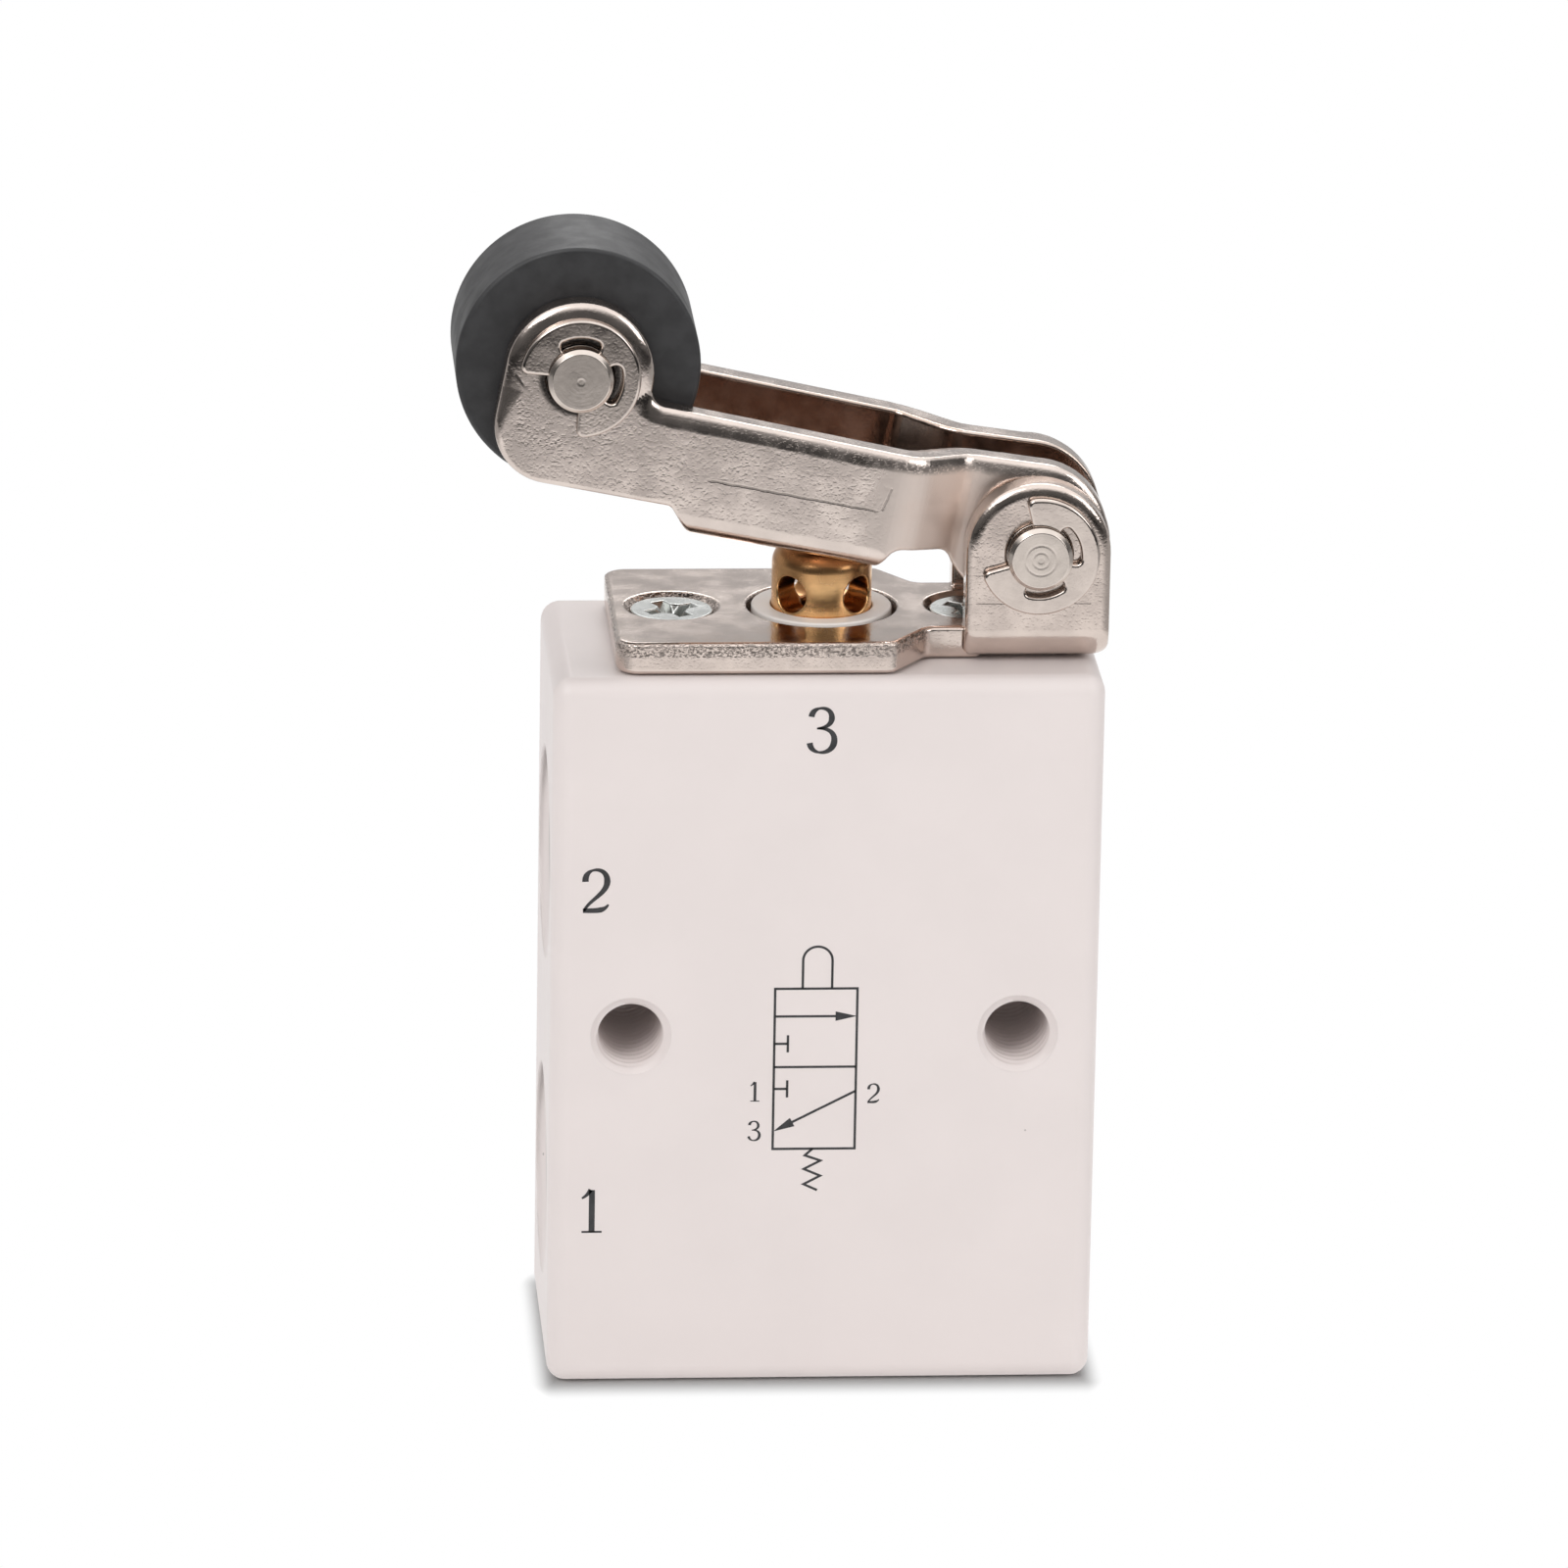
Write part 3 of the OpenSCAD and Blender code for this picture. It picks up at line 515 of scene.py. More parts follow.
@dataclass(frozen=True)
class Finish:
    """A plain finish: a colour with faint clouds, a gloss that varies, and a fine grain."""

    name: str
    colour: Colour
    roughness: float
    metallic: float = 0.0
    cloud: float = 0.04
    cloud_size: float = 5.0
    cloud_range: Pair = (0.3, 0.7)
    gloss_spread: float = 0.08
    gloss_size: float = 1.7
    grain_size: float = 0.3
    grain_depth: float = 0.002
    ior: float = 1.5

    def material(self) -> bpy.types.Material:
        """Makes the finish's material, once.

        Returns:
            The material.
        """
        label = f"{self.name}_finish"
        if label in bpy.data.materials:
            return bpy.data.materials[label]
        made = bpy.data.materials.new(label)
        made.use_nodes = True
        nodes = Nodes(made.node_tree)
        shader = nodes.add("ShaderNodeBsdfPrincipled", {"Metallic": self.metallic})
        nodes.add("ShaderNodeOutputMaterial", {"Surface": shader.outputs[0]})
        nodes.put(shader.inputs["Base Color"], self.tint(nodes))
        nodes.put(shader.inputs["Roughness"], self.gloss(nodes))
        nodes.put(shader.inputs["Normal"], self.grain(nodes))
        self.extra(nodes, shader)
        return made

    def tint(self, nodes: Nodes) -> Socket:
        """Returns the colour with faint clouds."""
        clouds = nodes.ramp(nodes.noise(nodes.place(), self.cloud_size, 3), *self.cloud_range)
        return nodes.blend(clouds, rgba(self.colour, 1 - self.cloud), rgba(self.colour, 1 + self.cloud))

    def gloss(self, nodes: Nodes) -> Socket:
        """Returns the roughness with its spread."""
        low, high = self.roughness - self.gloss_spread / 2, self.roughness + self.gloss_spread / 2
        return nodes.ramp(nodes.noise(nodes.place(), self.gloss_size, 4), *self.cloud_range, low, high)

    def grain(self, nodes: Nodes) -> Socket:
        """Returns the normal with the fine grain."""
        return nodes.relief(nodes.noise(nodes.place(), self.grain_size, 2), self.grain_depth)

    def extra(self, nodes: Nodes, shader: bpy.types.Node) -> None:
        """Sets what else a finish needs."""
        nodes.put(shader.inputs["IOR"], self.ior)


@dataclass(frozen=True)
class Paint(Finish):
    """Sprayed paint: an orange peel, a few specks of dust, and bare metal where holes were cut later."""

    speck_cell: float = 3.2
    speck_share: float = 0.8
    speck_reach: float = 0.028
    speck_tint: float = 0.62
    bare_colour: Colour = (0.5, 0.485, 0.475)
    bare_roughness: float = 0.3

    def gloss(self, nodes: Nodes) -> Socket:
        """Returns the roughness, lower on bare metal."""
        less = nodes.math("MULTIPLY", nodes.mark("bare"), self.roughness - self.bare_roughness)
        return nodes.math("SUBTRACT", super().gloss(nodes), less)

    def extra(self, nodes: Nodes, shader: bpy.types.Node) -> None:
        """Makes the bare places metallic."""
        super().extra(nodes, shader)
        nodes.put(shader.inputs["Metallic"], nodes.mark("bare"))

    def tint(self, nodes: Nodes) -> Socket:
        """Puts the specks and the bare metal over the clouded colour.

        Args:
            nodes: the material's nodes.

        Returns:
            The colour.
        """
        base = super().tint(nodes)
        inputs = {"Vector": nodes.place(), "Scale": 1 / (self.speck_cell * MM)}
        cells = nodes.add("ShaderNodeTexVoronoi", inputs)
        near = nodes.math("LESS_THAN", cells.outputs["Distance"], self.speck_reach)
        chance = nodes.add("ShaderNodeSeparateColor", {0: cells.outputs["Color"]}).outputs[0]
        few = nodes.math("GREATER_THAN", chance, self.speck_share)
        specks = nodes.math("MULTIPLY", near, few)
        painted = nodes.blend(specks, base, rgba(self.colour, self.speck_tint))
        return nodes.blend(nodes.mark("bare"), painted, rgba(self.bare_colour))


@dataclass(frozen=True)
class Scribe:
    """A line that a press tool left on a front face, between two points (x, z) of the valve's frame."""

    start: Pair
    end: Pair
    face: float
    width: float = 0.12
    share: float = 0.55
    wander: float = 0.5
    side_fade: Pair = (0.4, 0.9)
    end_fade: float = 0.9

    def mark(self, nodes: Nodes) -> Socket:
        """Draws the line on what lies in front of the face's depth.

        Args:
            nodes: the material's nodes.

        Returns:
            The line's share near the segment, which fades to 0 at its sides and ends.
        """
        along = np.subtract(self.end, self.start)
        half = float(np.hypot(*along)) * MM / 2
        middle = np.add(self.start, self.end) / 2
        where = nodes.place((middle[0], 0, middle[1]), (0, -math.atan2(along[1], along[0]), 0))
        parts = nodes.add("ShaderNodeSeparateXYZ", {0: where}).outputs
        wide = self.width * MM
        wander = nodes.math("MULTIPLY", nodes.noise(nodes.place(), self.wander, 3), wide)
        beside = nodes.math("ABSOLUTE", nodes.math("ADD", parts[2], wander))
        near = nodes.ramp(beside, wide * self.side_fade[0], wide * self.side_fade[1], self.share, 0.0)
        within = nodes.ramp(nodes.math("ABSOLUTE", parts[0]), half * self.end_fade, half, 1.0, 0.0)
        front = nodes.math("LESS_THAN", parts[1], self.face * MM)
        return nodes.math("MULTIPLY", nodes.math("MULTIPLY", near, within), front)


@dataclass(frozen=True)
class Plating(Finish):
    """Bright plating on tumbled sheet: soft dents, a fine peel, pits, and torn grain on sheared edges, and
    painted light where the mesh marks it.
    """

    dent_size: float = 1.6
    dent_depth: float = 0.01
    pit_size: float = 0.18
    pit_depth: float = 0.003
    pit_range: Pair = (0.22, 0.56)
    tear_depth: float = 0.024
    tear_range: Pair = (0.44, 0.6)
    tear_size: float = 0.14
    tear_stretch: Triple = (1.6, 1.6, 1.0)
    # darkens the torn grain, and paints the lever's dark band under its top edge
    tear_and_band_tint: float = 0.42
    tear_dulling: float = 0.5
    # painted highlight: the jog's bend is coloured lighter
    bend_highlight_tint: float = 1.3
    # painted shade: share of the colour kept inside the lever's channel and under its web
    painted_shade: Colour = (0.8, 0.72, 0.672)
    # painted shadow round the roller pin: share of the colour kept
    pin_shadow: float = 0.1
    dulling: float = 0.4
    lines: tuple[Scribe, ...] = ()
    line_depth: float = 0.02
    line_tint: float = 0.3

    def tears_and_band(self, nodes: Nodes) -> Socket:
        """Returns the torn grain on sheared edges, and on the lever a painted dark band under its top edge.
        """
        torn = nodes.noise(nodes.place(scale=self.tear_stretch), self.tear_size, 3, 0.5)
        return nodes.math("MULTIPLY", nodes.ramp(torn, *self.tear_range), nodes.mark("tear_and_band_share"))

    def tint(self, nodes: Nodes) -> Socket:
        """Lightens the clouded colour in a painted highlight, and darkens it in the torn grain, in the
        painted band, on the lines, in painted shade and in a painted pin shadow.

        Args:
            nodes: the material's nodes.

        Returns:
            The colour.
        """
        # painted highlight on the marked bend
        drawn_and_lit = rgba(self.colour, self.bend_highlight_tint)
        base = nodes.blend(nodes.mark("dull"), super().tint(nodes), drawn_and_lit)
        # torn grain, and on the lever a painted dark band under the top edge
        base = nodes.blend(self.tears_and_band(nodes), base, rgba(self.colour, self.tear_and_band_tint))
        if self.lines:
            base = nodes.blend(self.scribed(nodes), base, rgba(self.colour, self.line_tint))
        # painted shade where the mesh marks the inside and the underside
        base = nodes.blend(nodes.mark("inside"), base, shaded(self.colour, self.painted_shade))
        # painted shadow round the roller pin
        return nodes.blend(nodes.mark("pin_shadow"), base, rgba(self.colour, self.pin_shadow))

    def scribed(self, nodes: Nodes) -> object:
        """Draws the lines.

        Args:
            nodes: the material's nodes.

        Returns:
            The greatest of their shares.
        """
        total: object = 0.0
        for line in self.lines:
            total = nodes.math("MAXIMUM", total, line.mark(nodes))
        return total

    def gloss(self, nodes: Nodes) -> Socket:
        """Raises the roughness in the torn grain and on drawn bends.

        Args:
            nodes: the material's nodes.

        Returns:
            The roughness.
        """
        torn = nodes.math("MULTIPLY", self.tears_and_band(nodes), self.tear_dulling)
        dull = nodes.math("ADD", torn, nodes.mark("dull"))
        return nodes.math("ADD", super().gloss(nodes), nodes.math("MULTIPLY", dull, self.dulling))

    def grain(self, nodes: Nodes) -> Socket:
        """Bumps the normal with dents, peel, pits, the torn grain with the lever's painted band, and lines.

        Args:
            nodes: the material's nodes.

        Returns:
            The normal.
        """
        where = nodes.place()
        dents = nodes.relief(nodes.noise(where, self.dent_size, 1), self.dent_depth)
        peel = nodes.relief(nodes.noise(where, self.grain_size, 2), self.grain_depth, dents)
        pits = nodes.ramp(nodes.noise(where, self.pit_size, 1), *self.pit_range)
        pitted = nodes.relief(pits, self.pit_depth, peel)
        torn = nodes.relief(self.tears_and_band(nodes), -self.tear_depth, pitted)
        return nodes.relief(self.scribed(nodes), -self.line_depth, torn) if self.lines else torn


@dataclass(frozen=True)
class Lathed(Finish):
    """Turned metal: fine rings about an axis, on the ends as well as along the side."""

    centre: Triple = (0, 0, 0)
    along: Axis = Axis.UP
    ring_pitch: float = 0.22
    ring_depth: float = 0.003
    # colour kept in painted shade, where the mesh marks it
    painted_shade: Colour = (0.4, 0.27, 0.21)

    def tint(self, nodes: Nodes) -> Socket:
        """Returns the clouded colour, darker where the mesh marks painted shade."""
        painted_darkening = nodes.mark("painted_shade")
        return nodes.blend(painted_darkening, super().tint(nodes), shaded(self.colour, self.painted_shade))

    def grain(self, nodes: Nodes) -> Socket:
        """Bumps the normal with rings: noise over the distance from the axis and the height along it.

        Args:
            nodes: the material's nodes.

        Returns:
            The normal.
        """
        where = nodes.place(self.centre)
        parts = nodes.add("ShaderNodeSeparateXYZ", {0: where}).outputs
        order = {Axis.UP: (0, 1, 2), Axis.FRONT: (0, 2, 1), Axis.LEFT: (1, 2, 0)}[self.along]
        across = [nodes.math("POWER", parts[i], 2.0) for i in order[:2]]
        radius = nodes.math("SQRT", nodes.math("ADD", across[0], across[1]))
        spot = nodes.add("ShaderNodeCombineXYZ", {0: radius, 1: parts[order[2]]}).outputs[0]
        rings = nodes.noise(spot, self.ring_pitch, 3)
        return nodes.relief(rings, self.ring_depth, super().grain(nodes))


@dataclass
class Piece:
    """What is said of a piece: its name, finish, body, slot, and the nodes that it stands for."""

    name: str
    finish: Finish
    body: Body
    slot: str | None
    stands_for: tuple[str, ...]

    def register(self, surface: Surface) -> bpy.types.Object:
        """Makes the piece from its surface, dresses it and hangs it on its body.

        Args:
            surface: the surface, in millimetres.

        Returns:
            The object.
        """
        return self.adopt(make_object(self.name, surface))

    def adopt(self, made: bpy.types.Object) -> bpy.types.Object:
        """Dresses an object that is already in place, and hangs it on its body.

        Args:
            made: the object.

        Returns:
            The same object.
        """
        made.data.materials.clear()
        made.data.materials.append(self.finish.material())
        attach(made, self.body.value)
        if self.stands_for:
            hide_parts(*self.stands_for)
        LOG.info("%s: %d faces on %s", self.name, len(made.data.polygons), self.body.value)
        return made


PAINT = Paint("sprayed_paint", (0.8, 0.725, 0.705), 0.42, cloud=0.012, cloud_size=7, gloss_spread=0.06,
              grain_size=0.7, grain_depth=0.003)
NICKEL = (0.67, 0.575, 0.52)
LEVER_NICKEL = (0.69, 0.6, 0.548)
SHEET = Plating("bracket_plating", NICKEL, 0.17, 1.0, cloud=0.06, cloud_size=2.2, gloss_spread=0.12,
                grain_size=0.4, grain_depth=0.0016)
RING_PLATE = Plating("plated_ring", (0.63, 0.55, 0.5), 0.13, 1.0, cloud=0.06, cloud_size=1.5,
                     dent_depth=0.002, pit_depth=0.001)
ZINC = Plating("zinc_plate", (0.53, 0.54, 0.525), 0.26, 1.0, cloud=0.06, cloud_size=0.8,
               dent_depth=0.002, pit_depth=0.001)
PIN_STEEL = Lathed("pin_steel", (0.67, 0.595, 0.54), 0.2, 1.0, cloud=0.05, cloud_size=1.2,
                   along=Axis.FRONT, ring_pitch=0.2, ring_depth=0.0014)
BUSH_WHITE = Finish("white_bush", (0.97, 0.91, 0.865), 0.42, grain_size=0.2, grain_depth=0.002)
RUBBER = Finish("black_rubber", (0.018, 0.018, 0.019), 0.62, grain_size=0.12, grain_depth=0.004)
BRASS = Lathed("turned_brass", (0.87, 0.535, 0.25), 0.27, 1.0, cloud=0.12, cloud_size=1.4, ring_depth=0.006)
WIRE = Finish("spring_wire", (0.5, 0.5, 0.51), 0.32, 1.0, grain_size=0.15)
PLUG_ALUMINIUM = Lathed("turned_aluminium", (0.78, 0.78, 0.77), 0.28, 1.0, ring_pitch=0.3)
PHOSPHATE = Finish("phosphated_steel", (0.045, 0.045, 0.05), 0.48, 0.6, grain_size=0.12, grain_depth=0.004)
ROLLER_BLACK = Finish("black_moulding", (0.03, 0.0295, 0.031), 0.5, cloud=0.2, cloud_size=1.4,
                      gloss_spread=0.14, grain_size=0.22, grain_depth=0.006)
INK = Finish("black_ink", (0.035, 0.034, 0.036), 0.55, cloud=0.25, cloud_size=0.5, grain_depth=0.001)


def node_span(node: str) -> tuple[Array, Array]:
    """Returns a frame node's lowest and highest corners, in millimetres."""
    low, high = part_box(node)
    return np.array(low) / MM, np.array(high) / MM


def joint_place(name: str) -> Array:
    """Returns where a joint lies, in millimetres."""
    found = next(joint for joint in frame["joints"] if joint["name"] == name)
    return np.array(found["pos_m"]) / MM


def o_ring(radius: float, thick: float, z: float) -> Surface:
    """A torus about local z: a circle of radius thick carried round a circle.

    Args:
        radius: radius of the ring's middle line.
        thick: radius of its section.
        z: its height.

    Returns:
        The surface.
    """
    corners = ((-1, -1), (1, -1), (1, 1), (-1, 1))
    return turned([(radius + dx * thick, z + dz * thick, thick) for dx, dz in corners])


@dataclass(frozen=True)
class Coil:
    """A compression spring about local z: a round wire along a helix whose two end turns lie close."""

    radius: float
    wire: float
    turns: int
    low: float
    high: float
    close: float = 3.1
    around: int = 40
    sides: int = 14

    def surface(self) -> Surface:
        """Carries the wire's section along the helix.

        Returns:
            The closed surface.
        """
        share = np.linspace(0, self.turns, self.turns * self.around + 1)
        first, last = self.low + self.wire, self.high - self.wire
        rest = self.low + self.close * self.wire, self.high - self.close * self.wire
        height = np.interp(share, [0, 1, self.turns - 1, self.turns], [first, *rest, last])[:, None]
        angle = 2 * math.pi * share[:, None]
        section = 2 * math.pi * np.arange(self.sides)[None] / self.sides
        reach = self.radius + self.wire * np.cos(section)
        rise = height + self.wire * np.sin(section)
        points = np.stack([reach * np.cos(angle), reach * np.sin(angle), rise], -1).reshape(-1, 3)
        faces = [face[::-1] for face in strip_faces(len(share), self.sides, False, True)]
        final = (len(share) - 1) * self.sides
        faces += [list(range(self.sides)), [final + k for k in range(self.sides)][::-1]]
        return Surface(points, faces)

    def build(self, piece: Piece, joint: str) -> None:
        """Makes the spring, with a mesh of its own.

        Args:
            piece: what is said of it.
            joint: the slide's name; not used.
        """
        made = piece.register(self.surface())
        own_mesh(made)


@dataclass
class ValveBlock:
    """The painted block with its ports, cross holes and valve bore.

    The bore's radii are, from below, those of the plug, the circlip's groove, the plug again, the poppet's
    chamber, the seat's ring, the throat, the bush and the bush's collar. Its levels lie between them.
    """

    edge: float = 1.2
    edge_steps: int = 7
    port_heights: Pair = (11.5, 32.4)
    port_major: float = 6.58
    port_minor: float = 5.72
    port_pitch: float = 1.337
    port_depth: float = 9.5
    port_relief: float = 0.4
    port_rows: int = 86
    floor_gap: float = 1e-3
    passage: float = 3.2
    passage_end: float = 17.0
    mouth: float = 0.4
    flank: Pair = (1.5, 0.25)
    hole_x: float = 12.0
    hole_z: float = 23.0
    hole_r: float = 2.15
    hole_pitch: float = 0.7
    hole_ridge: float = 0.16
    hole_rows: int = 241
    hole_steps: int = 64
    screw_x: float = 9.3
    screw_r: float = 1.52
    screw_bottom: float = 41.1
    bore_radii: Row = (6.3, 6.9, 6.3, 5.5, 3.5, 3.0, 5.0, 6.0)
    bore_levels: Row = (0.58, 1.62, 8.0, 21.5, 21.0, 24.0, 43.5)
    bore_steps: int = 80
    past: float = 1.0
    smooth_angle: float = 40.0
    face_weight: int = 100
    skin: float = 0.56

    def __post_init__(self) -> None:
        """Takes the block's box from the frame."""
        self.low, self.high = node_span("valve_body")

    def block(self) -> Surface:
        """The block as a sphere pulled apart: its eight octants move to the corners of the inner box.

        Returns:
            The surface, a grid of longitudes and latitudes with doubles where the octants meet.
        """
        quarter = np.linspace(0, math.pi / 2, self.edge_steps)
        turn = np.concatenate([quarter + q * math.pi / 2 for q in range(4)])
        rise = np.concatenate([quarter - math.pi / 2, quarter])
        flat = np.stack([np.cos(turn), np.sin(turn)], -1)
        half = (self.high - self.low) / 2 - self.edge
        corner = np.repeat(np.array([[1, 1], [-1, 1], [-1, -1], [1, -1]]) * half[:2], self.edge_steps, 0)
        level = np.repeat([-half[2], half[2]], self.edge_steps)
        ring = corner[None] + self.edge * np.cos(rise)[:, None, None] * flat[None]
        height = np.broadcast_to((level + self.edge * np.sin(rise))[:, None, None], (*ring.shape[:2], 1))
        points = np.concatenate([ring, height], -1).reshape(-1, 3) + (self.low + self.high) / 2
        columns = len(turn)
        faces = strip_faces(len(rise), columns, False, True)
        first = [q * self.edge_steps for q in range(4)]
        faces.append(first[::-1])
        faces.append([(len(rise) - 1) * columns + i for i in first])
        return Surface(points, faces)

    def threaded(self, stations: Array, base: Array, ridge: Array, pitch: float, steps: int = 72) -> Surface:
        """Bar about local z whose radius is a base less a ridge that winds round it as a screw thread.

        The thread is a triangle wave of the height in pitches less the share of a turn.

        Args:
            stations: heights of the rows, rising.
            base: the radius at each row.
            ridge: the ridge's height at each row.
            pitch: the thread's pitch.
            steps: points round the bar.

        Returns:
            The closed surface.
        """
        share = np.arange(steps) / steps
        wave = 2 * np.abs((stations[:, None] / pitch - share[None]) % 1 - 0.5)
        radius = base[:, None] - ridge[:, None] * np.clip(wave * self.flank[0] - self.flank[1], 0, 1)
        angle = 2 * math.pi * share[None]
        height = np.repeat(stations[:, None], steps, 1)
        points = np.stack([radius * np.cos(angle), radius * np.sin(angle), height], -1).reshape(-1, 3)
        faces = strip_faces(len(stations), steps, False, True)
        faces.append(list(range(steps))[::-1])
        faces.append([(len(stations) - 1) * steps + k for k in range(steps)])
        return Surface(points, faces)

    def port_cutter(self, z: float) -> Surface:
        """The space of a port: a chamfered mouth, a thread, a flat floor and the passage to the bore.

        Args:
            z: the port's height.

        Returns:
            The surface, in place.
        """
        start = self.port_relief - self.port_depth
        rise = np.linspace(start, self.past, self.port_rows)
        deep = [-self.passage_end, -self.port_depth, self.floor_gap - self.port_depth]
        cone = self.port_major + self.mouth + rise
        depth = self.port_major - self.port_minor
        fade = np.clip((rise - start) / self.port_pitch, 0, 1)
        ridge = np.clip(self.port_major - cone + depth, 0, depth) * fade
        base = np.maximum(self.port_minor + depth * fade, cone)
        base = np.concatenate([[self.passage, self.passage, self.port_minor], base])
        ridge = np.concatenate([np.zeros(len(deep)), ridge])
        cutter = self.threaded(np.concatenate([deep, rise]), base, ridge, self.port_pitch)
        return cutter.placed(Axis.LEFT, (self.low[0], 0, z))

    def hole_cutter(self, x: float) -> Surface:
        """The space of a cross hole: worn thread rings between two chamfered mouths.

        Args:
            x: the hole's place across the block.

        Returns:
            The surface, in place.
        """
        half = self.high[1]
        stations = np.linspace(-half - self.past, half + self.past, self.hole_rows)
        cone = self.hole_r + self.mouth + np.abs(stations) - half
        base = np.maximum(self.hole_r, cone)
        ridge = np.where(cone > self.hole_r, 0, self.hole_ridge)
        cutter = self.threaded(stations, base, ridge, self.hole_pitch, self.hole_steps)
        return cutter.placed(Axis.FRONT, (x, 0, self.hole_z))

    def bore_cutter(self) -> Surface:
        """The space of the valve bore: its radii between its levels, turned about the plunger's axis.

        Returns:
            The surface.
        """
        levels = [self.low[2] - self.past, *self.bore_levels, self.high[2] + self.past]
        walls = [(r, z, 0) for r, *ends in zip(self.bore_radii, levels, levels[1:]) for z in ends]
        return turned([(0, levels[0], 0), *walls, (0, levels[-1], 0)], self.bore_steps)

    def build(self) -> None:
        """Makes the painted piece: the block, with the ports, holes and bores cut out of it."""
        body = make_object("block", self.block())
        self.weld(body)
        cutters = [self.port_cutter(z) for z in self.port_heights]
        cutters += [self.hole_cutter(side * self.hole_x) for side in (-1, 1)]
        screw = round_bar(self.screw_r, self.screw_bottom, self.high[2] + self.past, 0)
        cutters += [screw.placed(Axis.UP, (side * self.screw_x, 0, 0)) for side in (-1, 1)]
        cutters.append(self.bore_cutter())
        tools = [make_object(f"cutter_{i}", cutter) for i, cutter in enumerate(cutters)]
        for tool in tools:
            self.weld(tool)
            cutting = body.modifiers.new(tool.name, "BOOLEAN")
            cutting.operation = "DIFFERENCE"
            cutting.solver = "EXACT"
            cutting.object = tool
        bpy.context.view_layer.update()
        shaped = bpy.data.meshes.new_from_object(body.evaluated_get(bpy.context.evaluated_depsgraph_get()))
        for spare in [body, *tools]:
            bpy.data.objects.remove(spare)
        made = bpy.data.objects.new("painted_block", shaped)
        bpy.context.scene.collection.objects.link(made)
        self.weld(made)
        self.mark_bare(shaped)
        shaped.polygons.foreach_set("use_smooth", np.ones(len(shaped.polygons), bool))
        shaped.set_sharp_from_angle(angle=math.radians(self.smooth_angle))
        even = made.modifiers.new("even_faces", "WEIGHTED_NORMAL")
        even.keep_sharp = True
        even.weight = self.face_weight
        Piece("painted_block", PAINT, Body.VALVE, "body_paint", ("valve_body",)).adopt(made)

    def mark_bare(self, mesh: bpy.types.Mesh) -> None:
        """Marks as bare what lies deeper in the block than its painted skin, except in the cross holes.

        Args:
            mesh: the block's mesh, in metres.
        """
        points = np.empty(3 * len(mesh.vertices), np.float32)
        mesh.vertices.foreach_get("co", points)
        x, y, z = points.reshape(-1, 3).T / MM
        depth = np.minimum.reduce([x - self.low[0], self.high[0] - x, y - self.low[1], self.high[1] - y,
                                   z - self.low[2], self.high[2] - z])
        crossed = np.hypot(np.abs(x) - self.hole_x, z - self.hole_z) < self.hole_r + self.mouth
        attribute = mesh.attributes.new("bare", "FLOAT", "POINT")
        attribute.data.foreach_set("value", ((depth > self.skin) & ~crossed).astype(np.float32))

    def weld(self, made: bpy.types.Object) -> None:
        """Merges doubled points and drops faces without area, so that the mesh is closed.

        Args:
            made: the object whose mesh is mended.
        """
        work = bmesh.new()
        work.from_mesh(made.data)
        bmesh.ops.remove_doubles(work, verts=work.verts, dist=DOUBLED * MM)
        bmesh.ops.dissolve_degenerate(work, edges=work.edges, dist=DOUBLED * MM)
        bmesh.ops.recalc_face_normals(work, faces=work.faces)
        work.to_mesh(made.data)
        work.free()


